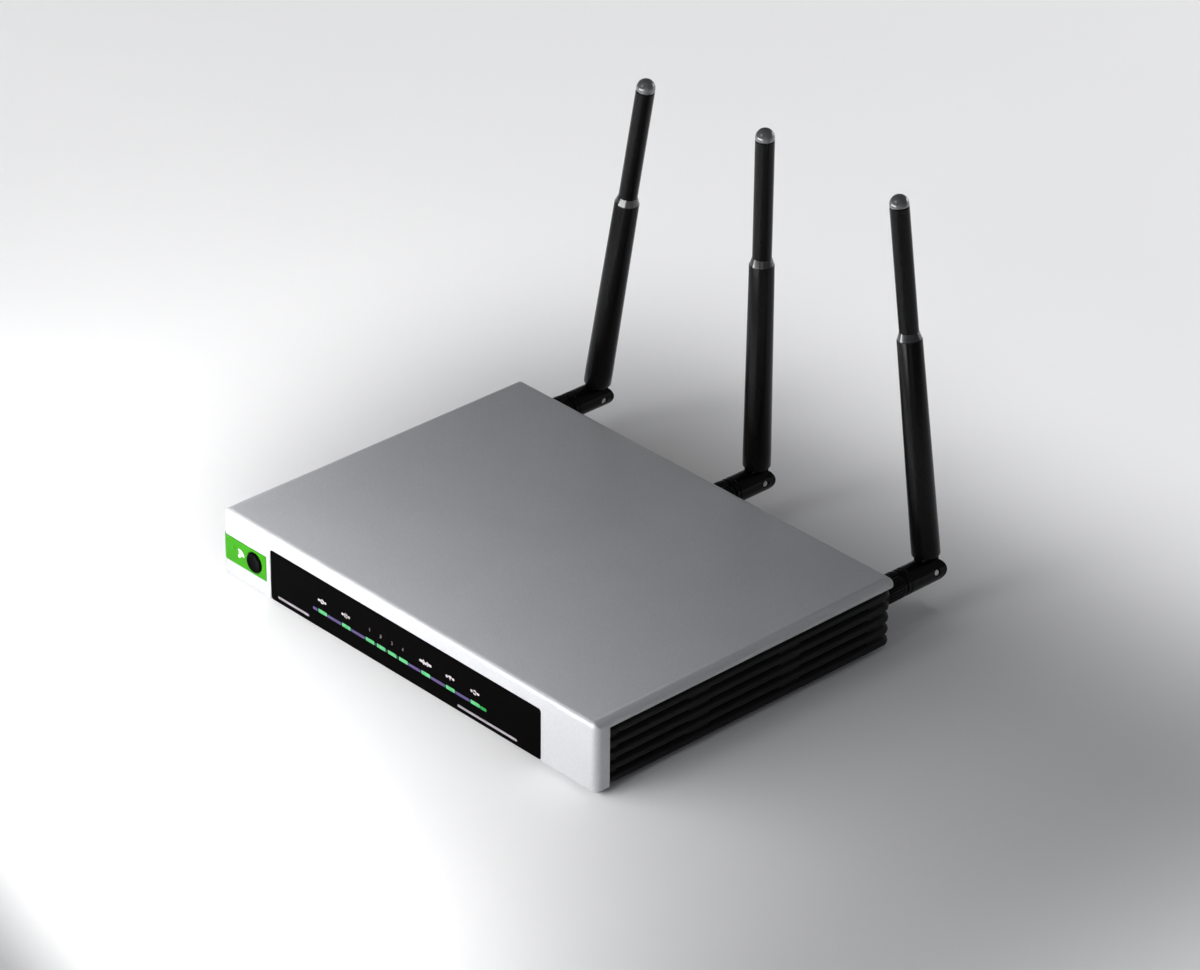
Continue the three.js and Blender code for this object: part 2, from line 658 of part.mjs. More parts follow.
function foot() {
  return turned(
    [
      [0, 0],
      [FOOT_RADIUS - 0.4, 0],
      [FOOT_RADIUS, 0.4],
      [FOOT_RADIUS, UNDERSIDE + FOOT_RECESS],
      [0, UNDERSIDE + FOOT_RECESS],
    ],
  );
}

function buildCase() {
  const group = new THREE.Group();
  group.add(
    mesh("top_cover", topCover(), MATERIALS.coverWhite),
    mesh("bottom_case", bottomCase(), MATERIALS.caseBlack),
    mesh("front_window", frontWindow(), MATERIALS.windowBlack),
    mesh("light_guide", lightGuide(), MATERIALS.lightGreen),
    mesh("badge_plate", badgePlate(), MATERIALS.badgeGreen),
    mesh("pairing_button", pushButton(), MATERIALS.buttonBlack, [BUTTON_POSITION, 0, BUTTON_LEVEL]),
  );
  for (const [corner, x, y] of SCREW_SITES) {
    group.add(mesh(`case_screw_${corner}`, caseScrew(), MATERIALS.screwSteel, [x, y, 0]));
  }
  for (const [corner, x, y] of FOOT_SITES) {
    group.add(mesh(`foot_${corner}`, foot(), MATERIALS.rubber, [x, y, 0]));
  }
  const labelTop = UNDERSIDE + LABEL_RECESS;
  const label = block(
    [-LABEL_WIDTH / 2, -LABEL_DEPTH / 2, labelTop - LABEL_THICKNESS],
    [LABEL_WIDTH / 2, LABEL_DEPTH / 2, labelTop],
  );
  group.add(mesh("underside_label", label, MATERIALS.labelSilver, [0, CASE_DEPTH / 2, 0]));
  return group;
}

// ---------------------------------------------------------------------------------------- board

function mainBoard() {
  const half = TRAY_INSIDE - BOARD_SIDE_GAP;
  const plan = roundedRectangle(-half, half, BOARD_FRONT, BOARD_REAR, 2);
  const holes = SCREW_SITES.map(([, x, y]) =>
    roundBar(SCREW_RADIUS + 0.6, BOARD_BOTTOM - PAST, BOARD_TOP + PAST, 16).translate(x, y, 0),
  );
  return cut(raised(plan, BOARD_BOTTOM, BOARD_TOP, 3), ...holes);
}

// The front outline of a modular socket: a wide mouth with a two-step latch slot under it.
function portOutline(centre) {
  const low = BOARD_TOP + PORT_FLOOR;
  const high = low + PORT_HEIGHT;
  const outline = new THREE.Shape();
  const corners = [
    [-PORT_WIDTH / 2, high],
    [-PORT_WIDTH / 2, low],
    [-3.1, low],
    [-3.1, low - 1.7],
    [-1.7, low - 1.7],
    [-1.7, low - 2.5],
    [1.7, low - 2.5],
    [1.7, low - 1.7],
    [3.1, low - 1.7],
    [3.1, low],
    [PORT_WIDTH / 2, low],
    [PORT_WIDTH / 2, high],
  ];
  corners.forEach(([x, z], n) => (n ? outline.lineTo(centre + x, z) : outline.moveTo(centre + x, z)));
  outline.closePath();
  return outline;
}

function jackBlock(centre, ports, width) {
  const body = block(
    [centre - width / 2, SOCKET_FACE - JACK_DEPTH, BOARD_TOP],
    [centre + width / 2, SOCKET_FACE, BOARD_TOP + JACK_HEIGHT],
  );
  const mouths = [];
  for (let n = 0; n < ports; n++) {
    const x = centre + (n - (ports - 1) / 2) * PORT_PITCH;
    mouths.push(alongY(portOutline(x), SOCKET_FACE - PORT_DEPTH, SOCKET_FACE + PAST));
  }
  return cut(body, ...mouths);
}

function usbSocket() {
  const near = SOCKET_FACE - USB_DEPTH;
  const low = BOARD_TOP;
  const high = low + USB_HEIGHT;
  const shell = block(
    [USB_CENTRE - USB_WIDTH / 2, near, low],
    [USB_CENTRE + USB_WIDTH / 2, SOCKET_FACE, high],
  );
  const cavity = block(
    [USB_CENTRE - USB_WIDTH / 2 + USB_SHELL, near + 2, low + USB_SHELL],
    [USB_CENTRE + USB_WIDTH / 2 - USB_SHELL, SOCKET_FACE + PAST, high - USB_SHELL],
  );
  const tongue = block(
    [USB_CENTRE - 5.5, near + 1.5, high - 2.9],
    [USB_CENTRE + 5.5, SOCKET_FACE - 1.2, high - 1.2],
  );
  return join(cut(shell, cavity), tongue);
}

function powerSocket() {
  const near = SOCKET_FACE - POWER_DEPTH;
  const level = BOARD_TOP + POWER_HEIGHT / 2 + 0.6;
  const body = block(
    [POWER_CENTRE - POWER_WIDTH / 2, near, BOARD_TOP],
    [POWER_CENTRE + POWER_WIDTH / 2, SOCKET_FACE, BOARD_TOP + POWER_HEIGHT],
  );
  const mouth = roundBarAlongY(POWER_BORE_RADIUS, near + 4, SOCKET_FACE + PAST)
    .translate(POWER_CENTRE, 0, level);
  const pin = roundBarAlongY(POWER_PIN_RADIUS, near + 3.5, SOCKET_FACE - 1.5, 12)
    .translate(POWER_CENTRE, 0, level);
  return join(cut(body, mouth), pin);
}

function heatsinkSolid(width, depth, height, fins) {
  const base = block([-width / 2, -depth / 2, 0], [width / 2, depth / 2, 2]);
  const pitch = width / fins;
  const ribs = [];
  for (let n = 0; n < fins; n++) {
    const middle = -width / 2 + (n + 0.5) * pitch;
    ribs.push(block([middle - 0.5, -depth / 2, 1], [middle + 0.5, depth / 2, height]));
  }
  return join(base, ...ribs);
}

// Board parts that are plain blocks: name, centre across and behind the front, width, depth, height.
const CHIPS = [
  ["processor", 50, 52, 18, 18, 1.5, "chipBlack"],
  ["memory_chip", 46, 27, 22, 10, 1.2, "chipBlack"],
  ["flash_chip", 78, 52, 8, 6, 1.8, "chipBlack"],
  ["network_switch_chip", LAN_CENTRE, CASE_DEPTH - 47, 16, 16, 1.4, "chipBlack"],
  ["lan_transformer", LAN_CENTRE, CASE_DEPTH - 26, 50, 8, 6.4, "chipBlack"],
  ["wan_transformer", WAN_CENTRE, CASE_DEPTH - 26, 13, 8, 6.4, "chipBlack"],
  ["power_inductor", 62, CASE_DEPTH - 48, 8, 8, 4.5, "chipBlack"],
];
const SHIELD = { x: 0, y: 60, width: 34, depth: 26, height: 3.2 };
const HEATSINK = { width: 24, height: 9, fins: 8 };
const CAPACITORS = [
  ["filter_capacitor_a", 67, CASE_DEPTH - 33],
  ["filter_capacitor_b", 57, CASE_DEPTH - 33],
];

function shieldCan() {
  const { width, depth, height } = SHIELD;
  const plan = roundedRectangle(-width / 2, width / 2, -depth / 2, depth / 2, 1);
  const inner = roundedRectangle(-width / 2 + 0.4, width / 2 - 0.4, -depth / 2 + 0.4, depth / 2 - 0.4, 0.7);
  return cut(raised(plan, 0, height, 2), raised(inner, -PAST, height - 0.4, 2));
}

function buildBoard() {
  const group = new THREE.Group();
  group.add(
    mesh("main_board", mainBoard(), MATERIALS.boardGreen),
    mesh("lan_jack_block", jackBlock(LAN_CENTRE, LAN_PORTS, lanWidth), MATERIALS.portYellow),
    mesh("wan_jack", jackBlock(WAN_CENTRE, 1, wanWidth), MATERIALS.portBlue),
    mesh("usb_socket", usbSocket(), MATERIALS.socketSteel),
    mesh("power_socket", powerSocket(), MATERIALS.socketBlack),
  );
  for (const [name, x, y, width, depth, height, material] of CHIPS) {
    const body = block([-width / 2, -depth / 2, 0], [width / 2, depth / 2, height]);
    group.add(mesh(name, body, MATERIALS[material], [x, y, BOARD_TOP]));
  }
  const [, processorX, processorY, , , processorHeight] = CHIPS[0];
  group.add(
    mesh(
      "processor_heatsink",
      heatsinkSolid(HEATSINK.width, HEATSINK.width, HEATSINK.height, HEATSINK.fins),
      MATERIALS.heatsinkAluminium,
      [processorX, processorY, BOARD_TOP + processorHeight],
    ),
    mesh("radio_shield", shieldCan(), MATERIALS.shieldTin, [SHIELD.x, SHIELD.y, BOARD_TOP]),
  );
  for (const [name, x, y] of CAPACITORS) {
    group.add(mesh(name, roundBar(4, 0, 11), MATERIALS.capacitorBlue, [x, y, BOARD_TOP]));
  }
  group.add(
    mesh(
      "pairing_switch",
      pushSwitch(6, 5.4, 4, 1.9, 2.6, BUTTON_LEVEL - BOARD_TOP),
      MATERIALS.socketBlack,
      [BUTTON_POSITION, SWITCH_NEAR, BOARD_TOP],
    ),
  );
  // The reset switch faces the rear, so its bore is turned round.
  const resetNear = REAR_INSIDE - 6;
  group.add(
    mesh(
      "reset_switch",
      pushSwitch(6, 5, 4, RESET_RADIUS + 0.3, 2.2, RESET_LEVEL - BOARD_TOP)
        .rotateZ(Math.PI),
      MATERIALS.socketBlack,
      [RESET_CENTRE, resetNear + 4, BOARD_TOP],
    ),
    mesh(
      "reset_button",
      roundBarAlongY(RESET_RADIUS, resetNear + 4 - 1.2, CASE_DEPTH - 0.9, 14),
      MATERIALS.buttonBlack,
      [RESET_CENTRE, 0, RESET_LEVEL],
    ),
  );
  return group;
}

// ------------------------------------------------------------------------------------- antennas

function antennaJack() {
  const flange = -REAR_WALL - 0.1;
  return turnedAlongY([
    [0, flange - 6],
    [2, flange - 6],
    [2, flange - 1.2],
    [4.4, flange - 1.2],
    [4.4, flange],
    [THREAD_RADIUS, flange],
    [THREAD_RADIUS, THREAD_LENGTH],
    [1.9, THREAD_LENGTH],
    [1.9, 3],
    [0, 3],
  ]);
}

function jackNut() {
  const corner = NUT_ACROSS_FLATS / 2 / Math.cos(Math.PI / 6);
  const outline = new THREE.Shape();
  for (let n = 0; n < 6; n++) {
    const angle = (n * Math.PI) / 3;
    const [x, z] = [corner * Math.cos(angle), corner * Math.sin(angle)];
    if (n) outline.lineTo(x, z);
    else outline.moveTo(x, z);
  }
  outline.closePath();
  const bore = roundBarAlongY(THREAD_RADIUS + 0.15, -PAST, NUT_THICKNESS + PAST);
  return cut(alongY(outline, 0.1, 0.1 + NUT_THICKNESS), bore);
}

const COLLAR_END = COLLAR_START + COLLAR_LENGTH;
function antennaCollar() {
  const outline = new THREE.Shape();
  for (let n = 0; n < 2 * KNURL_COUNT; n++) {
    const radius = COLLAR_RADIUS - (n % 2 ? KNURL_DEPTH : 0);
    const angle = (n * Math.PI) / KNURL_COUNT;
    const [x, z] = [radius * Math.cos(angle), radius * Math.sin(angle)];
    if (n) outline.lineTo(x, z);
    else outline.moveTo(x, z);
  }
  outline.closePath();
  const lipStart = COLLAR_END - COLLAR_LIP;
  const bore = turnedAlongY([
    [0, COLLAR_START - PAST],
    [THREAD_RADIUS + 0.4, COLLAR_START - PAST],
    [THREAD_RADIUS + 0.4, lipStart],
    [STEM_RADIUS + 0.3, lipStart],
    [STEM_RADIUS + 0.3, COLLAR_END + PAST],
    [0, COLLAR_END + PAST],
  ]);
  return cut(alongY(outline, COLLAR_START, COLLAR_END), bore);
}

// The part that swivels in the collar: a captive stem, a barrel and a fork for the whip.
function antennaKnuckle() {
  const lipStart = COLLAR_END - COLLAR_LIP;
  const barrelStart = COLLAR_END + 0.3;
  const forkRoot = PIVOT_SETBACK - TONGUE_RADIUS - 0.4;
  const core = turnedAlongY([
    [0, THREAD_LENGTH + 0.25],
    [CAPTIVE_RADIUS, THREAD_LENGTH + 0.25],
    [CAPTIVE_RADIUS, lipStart - 0.3],
    [STEM_RADIUS, lipStart - 0.3],
    [STEM_RADIUS, barrelStart],
    [KNUCKLE_RADIUS - 0.5, barrelStart],
    [KNUCKLE_RADIUS, barrelStart + 0.5],
    [KNUCKLE_RADIUS, forkRoot],
    [0, forkRoot],
  ]);
  // The fork's two ears are the barrel's own round section, rounded about the hinge pin.
  const earSide = new THREE.Shape();
  earSide.moveTo(forkRoot - 1, -EAR_RADIUS);
  earSide.lineTo(PIVOT_SETBACK, -EAR_RADIUS);
  earSide.absarc(PIVOT_SETBACK, 0, EAR_RADIUS, -Math.PI / 2, Math.PI / 2);
  earSide.lineTo(forkRoot - 1, EAR_RADIUS);
  earSide.closePath();
  const sideView = new THREE.ExtrudeGeometry(earSide, {
    depth: 2 * KNUCKLE_RADIUS,
    bevelEnabled: false,
    curveSegments: 8,
  })
    .rotateX(Math.PI / 2)
    .rotateZ(Math.PI / 2)
    .translate(-KNUCKLE_RADIUS, 0, 0);
  const ears = overlapOf(
    sideView,
    roundBarAlongY(KNUCKLE_RADIUS, forkRoot - 2, PIVOT_SETBACK + EAR_RADIUS + PAST),
  );
  const halfSlot = TONGUE_THICKNESS / 2 + TONGUE_GAP;
  const slot = block(
    [-halfSlot, forkRoot, -KNUCKLE_RADIUS - PAST],
    [halfSlot, PIVOT_SETBACK + EAR_RADIUS + PAST, KNUCKLE_RADIUS + PAST],
  );
  return cut(join(core, ears), slot, pinBore().translate(0, PIVOT_SETBACK, 0));
}

// A bore along X for the hinge pin.
const pinBore = () =>
  roundBarAlongY(PIN_RADIUS + PIN_CLEARANCE, -KNUCKLE_RADIUS - PAST, KNUCKLE_RADIUS + PAST)
    .rotateZ(Math.PI / 2);

function hingePin() {
  const half = KNUCKLE_RADIUS - 0.35;
  return roundBarAlongY(PIN_RADIUS, -half, half, 16).rotateZ(Math.PI / 2);
}

// The whip stands on the hinge pin, which is at its local origin.
function antennaWhip() {
  const domeBase = WHIP_LENGTH - ROD_RADIUS;
  const dome = [];
  for (let n = 0; n <= 4; n++) {
    const angle = (n * Math.PI) / 8;
    dome.push([ROD_RADIUS * Math.cos(angle), domeBase + ROD_RADIUS * Math.sin(angle)]);
  }
  dome[4][0] = 0;
  const sheath = turned([
    [0, SLEEVE_START],
    [SLEEVE_ROOT_RADIUS - 0.6, SLEEVE_START],
    [SLEEVE_ROOT_RADIUS, SLEEVE_START + 0.6],
    [SLEEVE_TOP_RADIUS, SLEEVE_TOP],
    [ROD_RADIUS, SLEEVE_TOP + SHOULDER_HEIGHT],
    ...dome,
  ]);
  const tongueSide = new THREE.Shape();
  tongueSide.moveTo(-TONGUE_RADIUS, SLEEVE_START + 1);
  tongueSide.lineTo(-TONGUE_RADIUS, 0);
  tongueSide.absarc(0, 0, TONGUE_RADIUS, Math.PI, 2 * Math.PI);
  tongueSide.lineTo(TONGUE_RADIUS, SLEEVE_START + 1);
  tongueSide.closePath();
  const tongue = alongY(tongueSide, -TONGUE_THICKNESS / 2, TONGUE_THICKNESS / 2, 8).rotateZ(Math.PI / 2);
  const bore = roundBar(WHIP_BORE_RADIUS, 12, WHIP_LENGTH - 7, 16);
  const leadChannel = roundBar(LEAD_RADIUS, -TONGUE_RADIUS - PAST, 13, 8).translate(0, 2.6, 0);
  return cut(join(sheath, tongue), pinBore(), bore, leadChannel);
}

// A sleeve dipole: lead, lower tube, spacer, upper tube and end wire in one turned piece.
function antennaRadiator() {
  return turned(
    [
      [0, 13],
      [0.6, 13],
      [0.6, 44],
      [1.8, 44],
      [1.8, 75],
      [1, 75],
      [1, 77],
      [1.5, 77],
      [1.5, 108],
      [0.5, 108],
      [0.5, 134],
      [0, 134],
    ],
    12,
  );
}

// The lead inside the case, from a jack's rear end to its plug on the board.
function antennaLead(route, plug) {
  const curve = new THREE.CatmullRomCurve3(route.map((point) => new THREE.Vector3(...point)));
  const section = new THREE.Shape();
  for (let n = 0; n < 6; n++) {
    const angle = (n * Math.PI) / 3;
    const [x, y] = [LEAD_RADIUS * Math.cos(angle), LEAD_RADIUS * Math.sin(angle)];
    if (n) section.lineTo(x, y);
    else section.moveTo(x, y);
  }
  section.closePath();
  const tube = new THREE.ExtrudeGeometry(section, { steps: 18, bevelEnabled: false, extrudePath: curve });
  const head = roundBar(1.6, BOARD_TOP, BOARD_TOP + 2, 12).translate(plug[0], plug[1], 0);
  return join(tube, head);
}

// Where each lead leaves its jack, and how it runs over the board to its plug.
const LEAD_START = CASE_DEPTH - REAR_WALL - 6.5;
const LEAD_LEVEL = BOARD_TOP + 1.1;
const LEAD_ROUTES = {
  left: [
    [-ANTENNA_SPACING, CASE_DEPTH - 19, 15.6],
    [-ANTENNA_SPACING - 1, CASE_DEPTH - 33, 12],
    [-ANTENNA_SPACING + 6, CASE_DEPTH - 49, LEAD_LEVEL],
    [-50, CASE_DEPTH - 67, LEAD_LEVEL],
    [-22, 66, LEAD_LEVEL],
  ],
  middle: [
    [0, CASE_DEPTH - 21, 15],
    [1.5, CASE_DEPTH - 37, 11.4],
    [1.5, CASE_DEPTH - 51, LEAD_LEVEL],
    [0, 78, LEAD_LEVEL],
  ],
  right: [
    [ANTENNA_SPACING, CASE_DEPTH - 19, 15.6],
    [ANTENNA_SPACING + 1, CASE_DEPTH - 33, 12],
    [ANTENNA_SPACING - 8, CASE_DEPTH - 51, LEAD_LEVEL],
    [48, CASE_DEPTH - 63, LEAD_LEVEL],
    [22, 66, LEAD_LEVEL],
  ],
};

function buildAntenna({ side, x, lean }) {
  const group = new THREE.Group();
  group.position.set(x, CASE_DEPTH, ANTENNA_LEVEL);
  group.add(
    mesh(`antenna_jack_${side}`, antennaJack(), MATERIALS.brassGold),
    mesh(`jack_nut_${side}`, jackNut(), MATERIALS.brassGold),
    mesh(`antenna_collar_${side}`, antennaCollar(), MATERIALS.antennaBlack),
  );
  const swivel = new THREE.Group();
  swivel.rotation.y = THREE.MathUtils.degToRad(lean);
  swivel.add(
    mesh(`antenna_knuckle_${side}`, antennaKnuckle(), MATERIALS.antennaBlack),
    mesh(`hinge_pin_${side}`, hingePin(), MATERIALS.screwSteel, [0, PIVOT_SETBACK, 0]),
    mesh(`antenna_whip_${side}`, antennaWhip(), MATERIALS.antennaBlack, [0, PIVOT_SETBACK, 0]),
    mesh(`antenna_radiator_${side}`, antennaRadiator(), MATERIALS.brassGold, [0, PIVOT_SETBACK, 0]),
  );
  group.add(swivel);
  return group;
}

function buildLeads() {
  const group = new THREE.Group();
  for (const { side, x } of ANTENNAS) {
    const route = [[x, LEAD_START, ANTENNA_LEVEL], ...LEAD_ROUTES[side]];
    const plug = route[route.length - 1];
    group.add(mesh(`antenna_lead_${side}`, antennaLead(route, plug), MATERIALS.leadGrey));
  }
  return group;
}

// ------------------------------------------------------------------------------------- assembly

const housing = new THREE.Group();
housing.position.y = (BUTTON_PROUD - REARMOST) / 2;
housing.add(buildCase(), buildBoard(), buildLeads(), ...ANTENNAS.map(buildAntenna));

const router = new THREE.Group();
router.add(housing);

export default router;
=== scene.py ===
"""Looks of a three-antenna wireless router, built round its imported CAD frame.

Lengths are in millimetres in the case's own frame, with X across, Y from the front face to the rear and Z up
from the surface that the feet stand on. They turn into the row's metres only when a mesh is made.
"""

import json
import logging
import math
from collections.abc import Callable
from dataclasses import dataclass, field
from enum import Enum

import bpy
from mathutils import Matrix, Vector


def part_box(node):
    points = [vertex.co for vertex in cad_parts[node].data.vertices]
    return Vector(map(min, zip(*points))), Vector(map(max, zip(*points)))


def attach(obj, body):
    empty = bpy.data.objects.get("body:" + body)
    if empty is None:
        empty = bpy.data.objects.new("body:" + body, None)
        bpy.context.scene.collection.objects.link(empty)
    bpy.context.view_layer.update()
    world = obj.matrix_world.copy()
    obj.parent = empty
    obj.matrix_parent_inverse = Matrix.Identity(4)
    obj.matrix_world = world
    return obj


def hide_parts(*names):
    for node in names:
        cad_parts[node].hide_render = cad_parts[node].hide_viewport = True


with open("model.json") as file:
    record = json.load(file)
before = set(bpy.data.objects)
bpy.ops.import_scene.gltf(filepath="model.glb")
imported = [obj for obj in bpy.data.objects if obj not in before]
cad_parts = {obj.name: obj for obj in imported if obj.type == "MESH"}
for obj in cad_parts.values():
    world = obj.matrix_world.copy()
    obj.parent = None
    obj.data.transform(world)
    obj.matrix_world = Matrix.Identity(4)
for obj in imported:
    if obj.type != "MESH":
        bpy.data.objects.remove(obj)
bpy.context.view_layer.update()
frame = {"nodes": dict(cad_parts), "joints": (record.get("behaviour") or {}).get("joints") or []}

LOG = logging.getLogger("router")
MM = 0.001
TAU = 2 * math.pi
PAST = 1.0

Pair = tuple[float, float]
Triple = tuple[float, float, float]
Strokes = list[tuple[list[Pair], bool]]


# ------------------------------------------------------------------------------------ shader maths


class Channel:
    """One node socket, which adds its own maths nodes when it is used in an expression."""

    def __init__(self, shader: "Shader", socket: bpy.types.NodeSocket) -> None:
        """Wraps a socket of a shader's tree."""
        self.shader = shader
        self.socket = socket

    def maths(self, operation: str, *values: "Channel | float") -> "Channel":
        """Adds a Math node.

        Args:
            operation: The node's operation.
            *values: Its inputs, in order.

        Returns:
            The node's result.
        """
        return self.shader.node("ShaderNodeMath", {"operation": operation}, dict(enumerate(values)))

    def __add__(self, other: "Channel | float") -> "Channel":
        """Sum."""
        return self.maths("ADD", self, other)

    __radd__ = __add__

    def __sub__(self, other: "Channel | float") -> "Channel":
        """Difference."""
        return self.maths("SUBTRACT", self, other)

    def __rsub__(self, other: "Channel | float") -> "Channel":
        """Difference with the sides changed over."""
        return self.maths("SUBTRACT", other, self)

    def __mul__(self, other: "Channel | float") -> "Channel":
        """Product."""
        return self.maths("MULTIPLY", self, other)

    __rmul__ = __mul__

    def ramp(self, low: float, high: float) -> "Channel":
        """Runs smoothly from 0 at low to 1 at high."""
        settings = {"interpolation_type": "SMOOTHSTEP"}
        return self.shader.node("ShaderNodeMapRange", settings, {0: self, 1: low, 2: high})


class Shader:
    """A material's node tree with one Principled shader."""

    def __init__(self, name: str) -> None:
        """Makes an empty material of that name."""
        self.material = bpy.data.materials.new(name)
        self.material.use_nodes = True
        self.tree = self.material.node_tree
        self.tree.nodes.clear()
        self.surface = self.tree.nodes.new("ShaderNodeBsdfPrincipled")
        output = self.tree.nodes.new("ShaderNodeOutputMaterial")
        self.tree.links.new(self.surface.outputs[0], output.inputs["Surface"])

    def node(
        self,
        kind: str,
        settings: dict[str, object] | None = None,
        inputs: dict[int | str, object] | None = None,
        output: int | str = 0,
    ) -> Channel:
        """Adds a node.

        Args:
            kind: The node's type.
            settings: Its properties, which are set before its sockets.
            inputs: Values or channels by socket.
            output: The output that is wanted.

        Returns:
            That output.
        """
        made = self.tree.nodes.new(kind)
        for key, value in (settings or {}).items():
            setattr(made, key, value)
        for key, value in (inputs or {}).items():
            self.feed(made.inputs[key], value)
        return Channel(self, made.outputs[output])

    def feed(self, socket: bpy.types.NodeSocket, value: object) -> None:
        """Links a channel to a socket, or sets the socket's own value."""
        if isinstance(value, Channel):
            self.tree.links.new(value.socket, socket)
        elif isinstance(value, tuple) and socket.type == "RGBA" and len(value) == 3:
            socket.default_value = (*value, 1.0)
        else:
            socket.default_value = value

    def set(self, **values: object) -> None:
        """Feeds the Principled shader's sockets, named with underscores for spaces."""
        for key, value in values.items():
            self.feed(self.surface.inputs[key.replace("_", " ")], value)

    def place(self) -> Channel:
        """The point on the piece, in its own metres."""
        return self.node("ShaderNodeTexCoord", output="Object")

    def noise(self, size: float, detail: float = 2.0, stretch: Triple = (1, 1, 1)) -> Channel:
        """Soft noise.

        Args:
            size: The size of its lumps in millimetres.
            detail: Its finer octaves.
            stretch: How much shorter the lumps are along each axis.

        Returns:
            A value about 0.5.
        """
        mapped = self.node("ShaderNodeMapping", None, {0: self.place(), 3: stretch})
        return self.node("ShaderNodeTexNoise", None, {0: mapped, "Scale": 1 / (size * MM), "Detail": detail})

    def mix(self, factor: Channel | float, first: object, second: object) -> Channel:
        """Mixes two colours."""
        inputs = {0: factor, 6: first, 7: second}
        return self.node("ShaderNodeMix", {"data_type": "RGBA"}, inputs, output=2)

    def bump(self, height: Channel, distance: float, strength: float = 1.0) -> None:
        """Adds relief.

        Args:
            height: The relief, from 0 to 1.
            distance: Its depth in millimetres.
            strength: How much of it shows.
        """
        inputs = {"Strength": strength, "Distance": distance * MM, "Height": height}
        self.set(Normal=self.node("ShaderNodeBump", None, inputs))


# ---------------------------------------------------------------------------------------- finishes


@dataclass(frozen=True)
class Finish:
    """A plain moulded or plated finish, with drifting tone, uneven polish and a fine surface grain."""

    name: str
    slot: str
    colour: Triple
    roughness: float
    metallic: float = 0.0
    specular: float = 0.5
    coat: float = 0.0
    coat_roughness: float = 0.05
    tone_drift: float = 0.12
    tone_size: float = 22.0
    polish_drift: float = 0.06
    polish_size: float = 9.0
    grain_size: float = 0.45
    grain_height: float = 0.006
    grain_stretch: Triple = (1, 1, 1)

    def make(self) -> bpy.types.Material:
        """Builds the material."""
        shader = Shader(self.name)
        shader.set(
            Metallic=self.metallic,
            Specular_IOR_Level=self.specular,
            Coat_Weight=self.coat,
            Coat_Roughness=self.coat_roughness,
        )
        self.paint(shader)
        return shader.material

    def paint(self, shader: Shader) -> None:
        """Feeds the sockets that change over the surface."""
        shader.set(Base_Color=self.toned(shader), Roughness=self.polished(shader))
        shader.bump(self.grain(shader), self.grain_height)

    def toned(self, shader: Shader) -> Channel:
        """The colour with its slow drift."""
        dark = tuple(channel * (1 - self.tone_drift) for channel in self.colour)
        light = tuple(min(1.0, channel * (1 + self.tone_drift)) for channel in self.colour)
        return shader.mix(shader.noise(self.tone_size, 3).ramp(0.3, 0.7), dark, light)

    def polished(self, shader: Shader) -> Channel:
        """The roughness with its drift."""
        drift = shader.noise(self.polish_size, 4) - 0.5
        return drift * (2 * self.polish_drift) + self.roughness

    def grain(self, shader: Shader) -> Channel:
        """The fine relief."""
        return shader.noise(self.grain_size, 2, self.grain_stretch)


@dataclass(frozen=True)
class FlakePaint(Finish):
    """Satin silver paint: fine bright flakes under a thin clear coat, with a trace of orange peel."""

    flake_size: float = 0.16
    flake_tint: Triple = (0.8, 0.81, 0.83)
    flake_bright: Pair = (0.72, 0.95)
    flake_share: float = 0.35
    flake_shine: float = 0.05
    flake_relief: float = 0.12
    peel_size: float = 1.6

    def paint(self, shader: Shader) -> None:
        """Adds the flakes and the orange peel."""
        inputs = {0: shader.place(), "Scale": 1 / (self.flake_size * MM)}
        cells = shader.node("ShaderNodeTexVoronoi", None, inputs, output="Color")
        glint = shader.node("ShaderNodeSeparateColor", None, {0: cells})
        flakes = glint.ramp(*self.flake_bright)
        shader.set(
            Base_Color=shader.mix(flakes * self.flake_share, self.toned(shader), self.flake_tint),
            Roughness=self.polished(shader) - flakes * self.flake_shine,
        )
        relief = shader.noise(self.peel_size, 1) + flakes * self.flake_relief
        shader.bump(relief, self.grain_height)


@dataclass(frozen=True)
class Lit(Finish):
    """A translucent lens with light behind it."""

    glow: Triple = (0.15, 1.0, 0.35)
    strength: float = 1.0
    spot_size: float = 2.4
    dim_share: float = 0.55

    def paint(self, shader: Shader) -> None:
        """Adds the glow."""
        super().paint(shader)
        spots = shader.noise(self.spot_size, 1).ramp(0.2, 0.75)
        dim = tuple(self.dim_share * channel for channel in self.glow)
        shader.set(Emission_Color=shader.mix(spots, dim, self.glow), Emission_Strength=self.strength)


@dataclass(frozen=True)
class Circuit(Finish):
    """Solder mask over copper tracks, with bare tinned vias."""

    track_pitch: float = 1.9
    track_width: float = 0.035
    track_gain: float = 2.1
    via_pitch: float = 4.4
    via_edge: Pair = (0.07, 0.1)
    via_tin: Triple = (0.55, 0.52, 0.42)
    relief: float = 0.03

    def paint(self, shader: Shader) -> None:
        """Adds the tracks and the vias."""
        where = shader.place()
        inputs = {0: where, "Scale": 1 / (3 * self.track_pitch * MM), "Brick Width": 0.9, "Row Height": 0.34}
        inputs["Mortar Size"] = self.track_width
        bricks = shader.node("ShaderNodeTexBrick", None, inputs, output="Fac")
        dots = shader.node("ShaderNodeTexVoronoi", None, {0: where, "Scale": 1 / (self.via_pitch * MM)})
        vias = 1 - dots.ramp(*self.via_edge)
        light = tuple(self.track_gain * channel for channel in self.colour)
        tracks = shader.mix(bricks, self.toned(shader), light)
        shader.set(
            Base_Color=shader.mix(vias, tracks, self.via_tin),
            Metallic=vias * 0.9,
            Roughness=self.polished(shader),
        )
        shader.bump(bricks + vias, self.relief)


